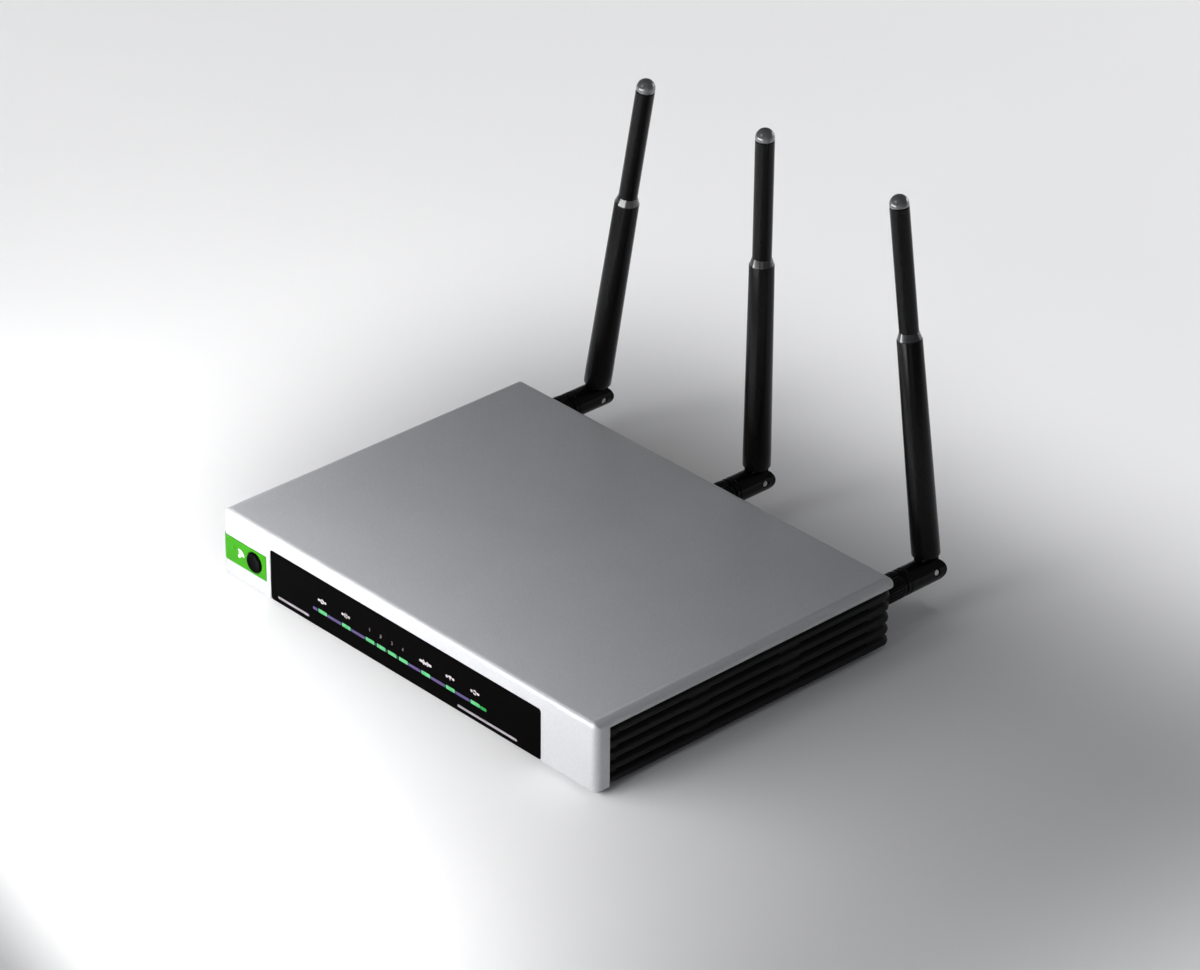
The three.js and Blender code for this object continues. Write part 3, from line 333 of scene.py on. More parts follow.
@dataclass(frozen=True)
class Floor(Finish):
    """Pale seamless paper."""

    tooth_size: float = 1.5
    tooth_height: float = 0.02
    tooth_share: float = 0.3

    def paint(self, shader: Shader) -> None:
        """Adds the paper's soft tooth."""
        shader.set(Base_Color=self.toned(shader), Roughness=self.polished(shader))
        shader.bump(shader.noise(self.tooth_size, 3), self.tooth_height, self.tooth_share)


def ink(name: str, colour: Triple, roughness: float = 0.5) -> Finish:
    """A thin print on the window."""
    return Finish(name, "window_black", colour, roughness, specular=0.1, grain_height=0.001)


class Look(Enum):
    """The finishes of the router's pieces."""

    COVER = FlakePaint(
        "satin silver paint", "cover_white", (0.51, 0.515, 0.53), 0.38, metallic=0.15, coat=0.3,
        coat_roughness=0.15, tone_drift=0.015, polish_drift=0.03, grain_height=0.004,
    )
    CASE = Finish(
        "matt black moulding", "case_black", (0.006, 0.006, 0.0065), 0.5, specular=0.2,
        grain_size=0.3, grain_height=0.02,
    )
    WINDOW = Finish(
        "gloss black window", "window_black", (0.0012, 0.001, 0.001), 0.07, specular=0.008,
        tone_drift=0.05, polish_drift=0.03, polish_size=14, grain_size=6, grain_height=0.001,
    )
    LENS = Lit(
        "lit green lens", "light_green", (0.03, 0.12, 0.05), 0.3, specular=0.2,
        glow=(0.13, 0.72, 0.27), strength=0.82, grain_height=0.001,
    )
    GUIDE = Finish(
        "unlit guide", "light_green", (0.008, 0.01, 0.008), 0.5, specular=0.2, grain_height=0.001,
    )
    LINK = ink("dim link print", (0.085, 0.062, 0.17), 0.4)
    LINK_END = ink("green link print", (0.02, 0.28, 0.06), 0.4)
    PRINT = ink("pale grey print", (0.5, 0.46, 0.48))
    DIM_PRINT = ink("dim grey print", (0.12, 0.1, 0.1))
    RULE = ink("grey rule", (0.3, 0.28, 0.3))
    BADGE = Finish(
        "green lacquer", "badge_green", (0.032, 0.26, 0.002), 0.3, specular=0.08, coat=0.02, tone_drift=0.05,
        grain_size=1.2, grain_height=0.002,
    )
    MARK = Finish("white print", "badge_green", (0.9, 0.9, 0.9), 0.4, tone_drift=0.02, grain_height=0.001)
    BUTTON = Finish(
        "gloss black button", "button_black", (0.001, 0.001, 0.001), 0.16, specular=0.02,
        grain_size=2, grain_height=0.001,
    )
    ANTENNA = Finish(
        "satin black antenna", "antenna_black", (0.004, 0.004, 0.0042), 0.22, specular=0.14,
        polish_drift=0.04, grain_size=0.5, grain_height=0.006,
    )
    # A lighter, glossier copy of the antenna's black: a painted highlight where the shoulder's chamfer
    # catches the light.
    SHOULDER = Finish(
        "painted shoulder highlight", "antenna_black", (0.03, 0.03, 0.032), 0.25, specular=0.6, coat=0.6,
        grain_height=0.001,
    )
    TIP = Finish(
        "gloss grey tip", "antenna_black", (0.12, 0.121, 0.125), 0.24, specular=0.8, coat=1.0,
        grain_height=0.001,
    )
    RUBBER = Finish("matt rubber", "foot_rubber", (0.018, 0.018, 0.018), 0.82, grain_height=0.03)
    SCREW = Finish(
        "plated steel", "screw_steel", (0.5, 0.5, 0.52), 0.3, metallic=1.0,
        grain_size=0.6, grain_stretch=(1, 9, 1),
    )
    LABEL = Finish("matt silver film", "label_silver", (0.5, 0.51, 0.52), 0.55, tone_drift=0.03)
    LABEL_PRINT = Finish("black film print", "label_silver", (0.03, 0.03, 0.03), 0.5)
    BOARD = Circuit("green circuit board", "board_green", (0.008, 0.09, 0.03), 0.35)
    CHIP = Finish("moulded chip", "chip_black", (0.02, 0.02, 0.021), 0.6, grain_size=0.2, grain_height=0.02)
    HEATSINK = Finish(
        "extruded aluminium", "heatsink_aluminium", (0.62, 0.63, 0.64), 0.38, metallic=1.0,
        grain_size=1.0, grain_stretch=(12, 1, 12),
    )
    SHIELD = Finish("tinned shield", "shield_tin", (0.6, 0.6, 0.59), 0.3, metallic=1.0)
    YELLOW = Finish("yellow socket", "port_yellow", (0.72, 0.42, 0.015), 0.38)
    BLUE = Finish("blue socket", "port_blue", (0.012, 0.1, 0.42), 0.38)
    STEEL = Finish(
        "nickel shell", "socket_steel", (0.6, 0.59, 0.57), 0.24, metallic=1.0,
        grain_size=1.0, grain_stretch=(1, 10, 1),
    )
    SOCKET = Finish("black socket", "socket_black", (0.012, 0.012, 0.012), 0.42)
    CAPACITOR = Finish("capacitor sleeve", "capacitor_blue", (0.014, 0.02, 0.08), 0.3)
    BRASS = Finish(
        "plated brass", "brass_gold", (0.72, 0.48, 0.17), 0.22, metallic=1.0,
        grain_size=0.5, grain_stretch=(1, 8, 1),
    )
    LEAD = Finish("lead jacket", "lead_grey", (0.12, 0.12, 0.125), 0.45)
    FLOOR = Floor("pale paper", "", (0.88, 0.88, 0.885), 0.75, tone_drift=0.01, tone_size=300)

    def material(self) -> bpy.types.Material:
        """The finish's material, made the first time that it is asked for."""
        return bpy.data.materials.get(self.value.name) or self.value.make()


# ------------------------------------------------------------------------------------------ shapes


class Axis(Enum):
    """How an outline's two coordinates and its height turn into X, Y and Z."""

    UP = Matrix(((1, 0, 0), (0, 1, 0), (0, 0, 1))).to_4x4()
    BACK = Matrix(((1, 0, 0), (0, 0, 1), (0, 1, 0))).to_4x4()
    ACROSS = Matrix(((0, 0, 1), (1, 0, 0), (0, 1, 0))).to_4x4()


def rounded_rectangle(
    x0: float, x1: float, y0: float, y1: float, radius: float, steps: int = 6
) -> list[Pair]:
    """A rectangle's outline with rounded corners, anticlockwise from its lower right corner."""
    centres = [(x1 - radius, y0 + radius, -1), (x1 - radius, y1 - radius, 0)]
    centres += [(x0 + radius, y1 - radius, 1), (x0 + radius, y0 + radius, 2)]
    outline = []
    for x, y, quarter in centres:
        for step in range(steps + 1):
            angle = (quarter + step / steps) * math.pi / 2
            outline.append((x + radius * math.cos(angle), y + radius * math.sin(angle)))
    return outline


def inset_rectangle(
    low: "Pair | Vector", high: "Pair | Vector", inset: float, radius: float, steps: int = 6
) -> list[Pair]:
    """A rounded rectangle between two corners, drawn in by an inset."""
    sides = (low[0] + inset, high[0] - inset, low[1] + inset, high[1] - inset)
    return rounded_rectangle(*sides, radius, steps)


def lozenge(x: float, y: float, width: float, height: float, radius: float, steps: int) -> list[Pair]:
    """A rounded rectangle about a middle."""
    return rounded_rectangle(x - width / 2, x + width / 2, y - height / 2, y + height / 2, radius, steps)


def arc(x: float, y: float, radius: float, start: float, end: float, steps: int) -> list[Pair]:
    """Points along an arc, with its angles in degrees."""
    angles = [math.radians(start + (end - start) * step / steps) for step in range(steps + 1)]
    return [(x + radius * math.cos(angle), y + radius * math.sin(angle)) for angle in angles]


class Shape:
    """A mesh in the making, in millimetres."""

    def __init__(self, points: list[Vector], faces: list[tuple[int, ...]]) -> None:
        """Takes points and faces as they are."""
        self.points = points
        self.faces = faces

    @classmethod
    def loft(cls, rings: list[list[Vector]], hollow: bool = False) -> "Shape":
        """A skin through rings of equal length.

        Args:
            rings: The rings, each anticlockwise as seen from the last one's side.
            hollow: Whether the last ring joins the first, in place of two end faces.

        Returns:
            The closed shape.
        """
        count = len(rings[0])
        points = [point for ring in rings for point in ring]
        pairs = [(n, n + 1) for n in range(len(rings) - 1)]
        if hollow:
            pairs.append((len(rings) - 1, 0))
        faces = []
        for low, high in pairs:
            for n in range(count):
                m = (n + 1) % count
                faces.append((low * count + n, low * count + m, high * count + m, high * count + n))
        if not hollow:
            faces.append(tuple(reversed(range(count))))
            faces.append(tuple((len(rings) - 1) * count + n for n in range(count)))
        return cls(points, faces)

    @classmethod
    def prism(cls, outline: list[Pair], low: float, high: float, axis: Axis = Axis.UP) -> "Shape":
        """An outline run from low to high along an axis."""
        rings = [[axis.value @ Vector((x, y, level)) for x, y in outline] for level in (low, high)]
        return cls.loft(rings).outward()

    @classmethod
    def block(cls, low: Triple, high: Triple) -> "Shape":
        """A block between two corners."""
        outline = [(low[0], low[1]), (high[0], low[1]), (high[0], high[1]), (low[0], high[1])]
        return cls.prism(outline, low[2], high[2])

    @classmethod
    def turned(cls, profile: list[Pair], axis: Axis = Axis.UP, segments: int = 40) -> "Shape":
        """A turned solid.

        Args:
            profile: Radius and height, from one end of the axis to the other. Its ends have a radius.
            axis: The axis that it turns about.
            segments: Its facets.

        Returns:
            The closed solid.
        """
        rings = []
        for radius, level in profile:
            angles = [TAU * n / segments for n in range(segments)]
            ring = [Vector((radius * math.cos(angle), radius * math.sin(angle), level)) for angle in angles]
            rings.append([axis.value @ point for point in ring])
        return cls.loft(rings).outward()

    @classmethod
    def bar(cls, radius: float, low: float, high: float, axis: Axis = Axis.UP, segments: int = 32) -> "Shape":
        """A plain round bar, used as a core or a cutting tool."""
        return cls.turned([(radius, low), (radius, high)], axis, segments)

    @classmethod
    def ribbon(cls, path: list[Pair], width: float, closed: bool = False) -> "Shape":
        """A flat stroke along a path on the front plane, 1 mm thick, with mitred joints."""
        count = len(path)
        left, right = [], []
        for n, (x, y) in enumerate(path):
            before = path[n - 1] if n or closed else (x, y)
            after = path[(n + 1) % count] if n < count - 1 or closed else (x, y)
            along = (Vector((x, y)) - Vector(before)), (Vector(after) - Vector((x, y)))
            ways = [way.normalized() for way in along if way.length > 1e-6]
            mean = sum(ways, Vector((0, 0))).normalized()
            across = Vector((-mean.y, mean.x)) * (width / 2 / max(0.5, mean.dot(ways[0])))
            left.append((x + across.x, y + across.y))
            right.append((x - across.x, y - across.y))
        rings = [
            [Axis.BACK.value @ Vector((*one, level)) for one, level in zip(four, (0, 0, 1, 1))]
            for four in ([r, l, l, r] for l, r in zip(left, right))
        ]
        return cls.loft(rings, hollow=closed).outward()

    def outward(self) -> "Shape":
        """Turns the faces outwards."""
        volume = 0.0
        for face in self.faces:
            origin = self.points[face[0]]
            for a, b in zip(face[1:], face[2:]):
                volume += origin.dot(self.points[a].cross(self.points[b]))
        if volume < 0:
            self.faces = [tuple(reversed(face)) for face in self.faces]
        return self

    def moved(self, x: float = 0, y: float = 0, z: float = 0) -> "Shape":
        """A copy, shifted."""
        return self.under(Matrix.Translation((x, y, z)))

    def under(self, matrix: Matrix) -> "Shape":
        """A copy under a matrix."""
        return Shape([matrix @ point for point in self.points], list(self.faces)).outward()

    def scaled(self, x: float = 1, y: float = 1, z: float = 1) -> "Shape":
        """A copy, scaled about the origin."""
        return self.under(Matrix.Diagonal((x, y, z, 1)))

    @staticmethod
    def gather(shapes: "list[Shape]") -> "Shape":
        """Several shapes as one, without joining their solids."""
        points, faces = [], []
        for shape in shapes:
            base = len(points)
            points += shape.points
            faces += [tuple(base + index for index in face) for face in shape.faces]
        return Shape(points, faces)

    def mesh(self, name: str, matrix: Matrix | None = None) -> bpy.types.Mesh:
        """The shape as a Blender mesh."""
        made = bpy.data.meshes.new(name)
        points = [matrix @ point for point in self.points] if matrix else self.points
        made.from_pydata([tuple(point) for point in points], [], self.faces)
        made.validate()
        return made

    @staticmethod
    def printed(strokes: "list[Shape]", depth: float, start: float) -> "Shape":
        """Strokes of the front plane as one thin print that starts at that Y."""
        return Shape.gather(strokes).scaled(y=depth).moved(y=start)

    def combined(self, operation: str, tools: "list[Shape]") -> "Shape":
        """Runs one exact boolean with all the tools."""
        tool = bpy.data.objects.new("tool", Shape.gather(tools).mesh("tool"))
        base = bpy.data.objects.new("base", self.mesh("base"))
        for thing in (tool, base):
            bpy.context.scene.collection.objects.link(thing)
        step = base.modifiers.new("step", "BOOLEAN")
        step.operation, step.solver, step.object = operation, "EXACT", tool
        step.use_self = len(tools) > 1
        graph = bpy.context.evaluated_depsgraph_get()
        made = bpy.data.meshes.new_from_object(base.evaluated_get(graph))
        points = [vertex.co.copy() for vertex in made.vertices]
        faces = [tuple(polygon.vertices) for polygon in made.polygons]
        for thing in (tool, base):
            bpy.data.meshes.remove(thing.data)
        bpy.data.meshes.remove(made)
        return Shape(points, faces)

    def cut(self, *tools: "Shape") -> "Shape":
        """The shape with the tools taken away."""
        return self.combined("DIFFERENCE", list(tools))

    def fused(self, *others: "Shape") -> "Shape":
        """The shape and the others as one solid."""
        return self.combined("UNION", list(others))

    def common(self, other: "Shape") -> "Shape":
        """What the shape and another share."""
        return self.combined("INTERSECT", [other])


# ---------------------------------------------------------------------------------- making a piece


def millimetres(node: str) -> tuple[Vector, Vector]:
    """A CAD node's lowest and highest corners, in millimetres, in the case's frame."""
    low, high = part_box(node)
    shift = Vector((0, CASE_FRONT, 0))
    return low / MM - shift, high / MM - shift


def centre(node: str) -> Vector:
    """The middle of a CAD node's box, in millimetres, in the case's frame."""
    low, high = millimetres(node)
    return (low + high) / 2


CASE_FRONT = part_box("top_cover")[0].y / MM
CASE_FRAME = Matrix.Translation((0, CASE_FRONT * MM, 0)) @ Matrix.Scale(MM, 4)


@dataclass
class SubAssembly:
    """A group of pieces that are made together."""

    body: str = "case"
    home: Matrix = field(default_factory=CASE_FRAME.copy)

    def piece(
        self,
        name: str,
        shape: Shape,
        look: Look,
        replaces: tuple[str, ...] = (),
        edge: float = 0.0,
        smooth: float = 32.0,
        body: str = "",
    ) -> None:
        """Makes a shape into a dressed piece on its body.

        Args:
            name: The piece's name.
            shape: Its shape in this group's frame.
            look: Its finish.
            replaces: The CAD nodes that it stands for.
            edge: How far its sharp edges are eased, in millimetres.
            smooth: The angle in degrees under which two faces shade as one.
            body: The body that it rides on, if not the group's.
        """
        data = shape.mesh(name, self.home)
        data.shade_smooth()
        data.set_sharp_from_angle(angle=math.radians(smooth))
        made = bpy.data.objects.new(name, data)
        bpy.context.scene.collection.objects.link(made)
        if edge:
            easing = made.modifiers.new("eased edges", "BEVEL")
            easing.width, easing.segments, easing.limit_method = edge * MM, 2, "ANGLE"
            easing.angle_limit = math.radians(smooth)
            easing.miter_outer = "MITER_ARC"
            easing.harden_normals = True
        data.materials.append(look.material())
        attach(made, body or self.body)
        if replaces:
            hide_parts(*replaces)
        LOG.info("%s: %d faces, %s, on %s", name, len(data.polygons), look.name, body or self.body)

    def stand_in(self, name: str, shape: Shape, look: Look, edge: float = 0.0, body: str = "") -> None:
        """Makes the piece that stands for the CAD node of its own name."""
        self.piece(name, shape, look, (name,), edge, body=body)

    @staticmethod
    def dress(look: Look, *nodes: str) -> None:
        """Gives CAD nodes that stay as they are a finish."""
        for name in nodes:
            node = frame["nodes"][name]
            node.data.materials.clear()
            node.data.materials.append(look.material())
            LOG.info("%s: the CAD solid, %s", name, look.name)


# -------------------------------------------------------------------------------------------- case


@dataclass
class TopCover(SubAssembly):
    """The silver cover, whose front wraps both corners."""

    wall: float = 2.2
    corner: float = 3.0
    top_edge: float = 2.4
    side_edge: float = 4.2
    rim: float = 3.0
    wrap: float = 6.4
    edge_steps: int = 8
    window_gap: float = 0.2
    button_hole: float = 4.15
    badge_recess: float = 0.6
    badge_gap: float = 0.12

    def rings(self) -> list[list[Vector]]:
        """The skin's rings, up the outside and over the front and rear edges."""
        low, high = millimetres("top_cover")
        edge = arc(0, high.z - self.top_edge, self.top_edge, 0, 90, self.edge_steps)
        levels = [(0.0, low.z), *((self.top_edge - reach, level) for reach, level in edge)]
        return [
            [Vector((x, y, level)) for x, y in inset_rectangle(low, high, inset, self.corner - inset, 8)]
            for inset, level in levels
        ]

    def section(self) -> Shape:
        """The cover's section, with a long soft curve down each side, run from front to rear."""
        low, high = millimetres("top_cover")
        curve, seam = high.x - self.side_edge, high.z - self.rim
        quarter = arc(0, 0, 1, 0, 90, self.edge_steps)
        right = [(curve + self.side_edge * x, seam + self.rim * z) for x, z in quarter]
        left = [(-x, z) for x, z in reversed(right)]
        outline = [(low.x, low.z - PAST), (high.x, low.z - PAST), *right, *left]
        return Shape.prism(outline, low.y - PAST, high.y + PAST, Axis.BACK)

    def build(self) -> None:
        """Makes the cover."""
        low, high = millimetres("top_cover")
        window_low, window_high = millimetres("front_window")
        button = centre("pairing_button")
        solid = Shape.loft(self.rings()).outward().common(self.section())
        inside = inset_rectangle(low, high, self.wall, self.corner - self.wall)
        hollow = Shape.prism(inside, low.z - PAST, high.z - self.wall)
        sides = Shape.block(
            (low.x - PAST, self.wrap, low.z - PAST),
            (high.x + PAST, high.y + PAST, high.z - self.rim),
        )
        flange = FrontPanel.flange - self.window_gap
        mouth = rounded_rectangle(
            window_low.x + flange, window_high.x - flange, low.z - 9, window_high.z - flange,
            FrontPanel.corner + self.window_gap,
        )
        notch = Shape.prism(mouth, -PAST, self.wall + PAST, Axis.BACK)
        hole = Shape.bar(self.button_hole, -PAST, self.wall + PAST, Axis.BACK, 40)
        recess = Badge().plate(PAST, self.badge_recess + 0.1 + PAST, self.badge_gap)
        tools = (hollow, sides, notch, hole.moved(x=button.x, z=button.z), recess)
        self.piece("top_cover", solid.cut(*tools), Look.COVER, ("top_cover",), edge=0.18, smooth=24)


@dataclass
class Badge(SubAssembly):
    """The green plate that turns round the left corner, its printed mark, and the push button."""

    corner: float = 3.0
    proud: float = 0.2
    thickness: float = 0.8
    sweep: float = 60.0
    hole: float = 4.15
    button_radius: float = 3.9
    mark_place: Pair = (-90.15, -0.9)
    mark_radii: tuple[float, ...] = (1.5, 2.6)
    mark_width: float = 0.62
    mark_depth: float = 0.06

    def plan(self, outset: float, thickness: float) -> list[Pair]:
        """The plate's outline from above."""
        x = millimetres("top_cover")[0].x + self.corner
        inner_end = millimetres("badge_plate")[1].x
        outer = self.corner + outset
        end = 270 - self.sweep
        outline = [(inner_end, -outset), (inner_end, thickness - outset)]
        outline += arc(x, self.corner, outer - thickness, 270, end, 10)
        outline += arc(x, self.corner, outer, end, 270, 10)
        return outline

    def plate(self, outset: float, thickness: float, growth: float = 0.0) -> Shape:
        """The plate, or the tool that cuts its recess."""
        low, high = millimetres("badge_plate")
        return Shape.prism(self.plan(outset, thickness), low.z - growth, high.z + growth)

    def build(self) -> None:
        """Makes the plate, the mark and the button."""
        button = centre("pairing_button")
        bore = Shape.bar(self.hole, -3, 3, Axis.BACK, 40).moved(x=button.x, z=button.z)
        plate = self.plate(self.proud, self.thickness).cut(bore)
        self.stand_in("badge_plate", plate, Look.BADGE, edge=0.12)
        self.piece("badge_mark", self.mark(button.z), Look.MARK)
        self.button(button)

    def mark(self, level: float) -> Shape:
        """A plain dot with two arcs over it."""
        x, drop = self.mark_place
        z = level + drop
        strokes = [Shape.ribbon(arc(x, z, 0.35, 0, 330, 11), 0.7, closed=True)]
        strokes += [
            Shape.ribbon(arc(x, z, radius, 10, 100, 12), self.mark_width) for radius in self.mark_radii
        ]
        return Shape.printed(strokes, self.mark_depth, -self.proud - self.mark_depth / 2)

    def button(self, middle: Vector) -> None:
        """The round button, with a shallow dish inside a rounded rim."""
        low, high = millimetres("pairing_button")
        radius, face, round_edge = self.button_radius, low.y, 0.45
        rim = arc(radius - round_edge, -face - round_edge, round_edge, 90, 0, 3)
        rim = [(reach, -level) for reach, level in rim]
        dish = [(0.05, face + 0.3), (1.2, face + 0.27), (2.2, face + 0.18), (2.9, face + 0.06)]
        back = [(radius, 2.5), (radius + 1.1, 2.5), (radius + 1.1, 3.3), (1.6, 3.3), (1.6, high.y)]
        shape = Shape.turned(dish + rim + back, Axis.BACK, 48).moved(x=middle.x, z=middle.z)
        self.stand_in("pairing_button", shape, Look.BUTTON, body="pairing_button")


@dataclass
class FrontPanel(SubAssembly):
    """The gloss window with its lit lenses and its prints."""

    flange: float = 1.4
    corner: float = 1.0
    thickness: float = 2.0
    lens_places: tuple[float, ...] = (-44, -31, -18, -12, -6, 0, 12, 25, 38)
    lens_level: float = 9.0
    lens_size: Pair = (5.0, 1.7)
    lens_gap: float = 0.12
    icon_level: float = 13.6
    icon_size: float = 0.85
    icon_width: float = 4.6
    wide_icon_width: float = 6.4
    numeral_size: float = 0.6375
    stroke: float = 0.5
    dash_start: float = 1.15
    dash_height: float = 1.0
    print_depth: float = 0.05
    link_height: float = 1.2
    link_start: float = 2.6
    link_end: float = 3.4
    rule_height: float = 1.0
    left_rule: Triple = (3.8, 21.0, 2.3)
    right_rule: Triple = (101.5, 132.4, 2.1)

    def build(self) -> None:
        """Makes the window, the lenses and the prints."""
        low, high = millimetres("front_window")
        left, right = low.x + self.flange, high.x - self.flange
        top = high.z - self.flange
        outline = rounded_rectangle(left, right, low.z, top, self.corner)
        face = low.y
        pane = Shape.prism(outline, face, face + self.thickness, Axis.BACK)
        behind = Shape.block((left + 1, face + 1, low.z + 2.4), (right - 1, high.y, top - 1))
        frame_plate = Shape.block((low.x, high.y - 1, low.z + 2.4), (high.x, high.y, high.z))
        outlines = [lozenge(x, self.lens_level, *self.lens_size, 0.4, 3) for x in self.lens_places]
        slots = [Shape.prism(slot, -PAST, high.y + PAST, Axis.BACK) for slot in outlines]
        window = pane.fused(behind, frame_plate).cut(*slots)
        self.stand_in("front_window", window, Look.WINDOW, edge=0.14)
        self.lenses(face)
        self.prints(face, left, low.z)

    def lenses(self, face: float) -> None:
        """The light guide's bar behind the window, with its nine domed lenses."""
        low, high = millimetres("light_guide")
        width, height = (size - 2 * self.lens_gap for size in self.lens_size)
        bar = Shape.block((low.x, high.y - 2, low.z + 0.4), (high.x, high.y, high.z))
        self.piece("light_guide_bar", bar, Look.GUIDE, ("light_guide",))
        parts = []
        for x in self.lens_places:
            rings = []
            for shrink, y in ((0, high.y - 2.0), (0, face + 0.12), (0.12, face + 0.03), (0.3, face)):
                size = (width - 2 * shrink, height - 2 * shrink)
                outline = lozenge(x, self.lens_level, *size, 0.3, 4)
                rings.append([Vector((a, y, b)) for a, b in outline])
            parts.append(Shape.loft(rings).outward())
        self.piece("status_lenses", Shape.gather(parts), Look.LENS)

    def stripe(self, start: float, end: float, level: float, height: float) -> Shape:
        """A thin printed bar with round ends."""
        outline = lozenge((start + end) / 2, level, end - start, height, height * 0.45, 3)
        return Shape.prism(outline, 0, 1, Axis.BACK)

    def laid(self, shapes: list[Shape], face: float) -> Shape:
        """Prints laid on the window."""
        return Shape.printed(shapes, self.print_depth, face - self.print_depth / 2)

    def prints(self, face: float, left: float, base: float) -> None:
        """The line that links the lenses, the icons over them, and two rules near the lower edge."""
        half = self.lens_size[0] / 2 + self.lens_gap
        first, last = self.lens_places[0] - half, self.lens_places[-1] + half
        spans = [(a + half, b - half) for a, b in zip(self.lens_places, self.lens_places[1:])]
        spans.append((first - self.link_start, first))
        links = [self.stripe(start, end, self.lens_level, self.link_height) for start, end in spans]
        self.piece("link_line", self.laid(links, face), Look.LINK)
        end = self.stripe(last, last + self.link_end, self.lens_level, self.link_height)
        self.piece("link_line_end", self.laid([end], face), Look.LINK_END)
        icons, numerals = [], []
        for x, (draw, size, width) in zip(self.lens_places, self.signs()):
            group = icons if width else numerals
            for path, closed in draw():
                placed = [(x + a * size, self.icon_level + b * size) for a, b in path]
                group.append(Shape.ribbon(placed, self.stroke, closed))
            if width:
                inner, outer = self.dash_start, width / 2
                group.append(self.stripe(x - outer, x - inner, self.icon_level, self.dash_height))
                group.append(self.stripe(x + inner, x + outer, self.icon_level, self.dash_height))
        self.piece("status_icons", self.laid(icons, face), Look.PRINT)
        self.piece("status_numerals", self.laid(numerals, face), Look.DIM_PRINT)
        rules = [
            self.stripe(left + start, left + end, base + level, self.rule_height)
            for start, end, level in (self.left_rule, self.right_rule)
        ]
        self.piece("window_rules", self.laid(rules, face), Look.RULE)

    def signs(self) -> list[tuple[Callable[[], Strokes], float, float]]:
        """Each lens's sign: its drawing, its scale, and its width where dashes flank it or else 0."""
        full, small, width = self.icon_size, self.numeral_size, self.icon_width
        plain = [(self.power, full, width), (self.globe, full, width)]
        numerals = [(draw, small, 0.0) for draw in (self.one, self.two, self.three, self.four)]
        radios = [(self.waves_wide, full, self.wide_icon_width), (self.waves, full, width)]
        return [*plain, *numerals, *radios, (self.arrows, full, width)]

    @staticmethod
    def power() -> Strokes:
        """A ring open at the top with a bar in it."""
        return [(arc(0, 0, 0.85, 125, 415, 16), False), ([(0, 0.1), (0, 1.15)], False)]

    @staticmethod
    def globe() -> Strokes:
        """A circle with a meridian and an equator."""
        oval = [(0.45 * x, y) for x, y in arc(0, 0, 0.95, 0, 345, 23)]
        return [(arc(0, 0, 0.95, 0, 345, 23), True), (oval, True), ([(-0.9, 0), (0.9, 0)], False)]

    @staticmethod
    def one() -> Strokes:
        """The numeral for the first socket."""
        return [([(-0.3, 0.45), (0.05, 0.8), (0.05, -0.8)], False)]

    @staticmethod
    def two() -> Strokes:
        """The numeral for the second socket."""
        return [(arc(0, 0.35, 0.45, 165, -35, 8) + [(-0.45, -0.8), (0.5, -0.8)], False)]

    @staticmethod
    def three() -> Strokes:
        """The numeral for the third socket."""
        return [(arc(0, 0.4, 0.4, 150, -80, 8), False), (arc(0, -0.38, 0.45, 80, -150, 8), False)]

    @staticmethod
    def four() -> Strokes:
        """The numeral for the fourth socket."""
        return [([(0.5, -0.3), (-0.5, -0.3), (0.2, 0.8), (0.2, -0.8)], False)]

    @staticmethod
    def waves() -> Strokes:
        """A dot under two arcs."""
        rows = [(arc(0, -0.75, radius, 45, 135, 8), False) for radius in (0.75, 1.4)]
        return [*rows, (arc(0, -0.7, 0.12, 0, 300, 5), True)]

    @staticmethod
    def waves_wide() -> Strokes:
        """Arcs either side of a mast."""
        right = [(arc(0, 0, radius, -45, 45, 8), False) for radius in (0.8, 1.5)]
        left = [(arc(0, 0, radius, 135, 225, 8), False) for radius in (0.8, 1.5)]
        return [*right, *left, ([(0, -0.9), (0, 0.25)], False)]

    @staticmethod
    def arrows() -> Strokes:
        """Two arrows that follow each other round."""
        first = [(arc(0, 0, 0.85, 20, 150, 8), False), (arc(0, 0, 0.85, 200, 330, 8), False)]
        return [*first, ([(0.5, -0.1), (0.8, 0.35), (1.15, -0.05)], False)]


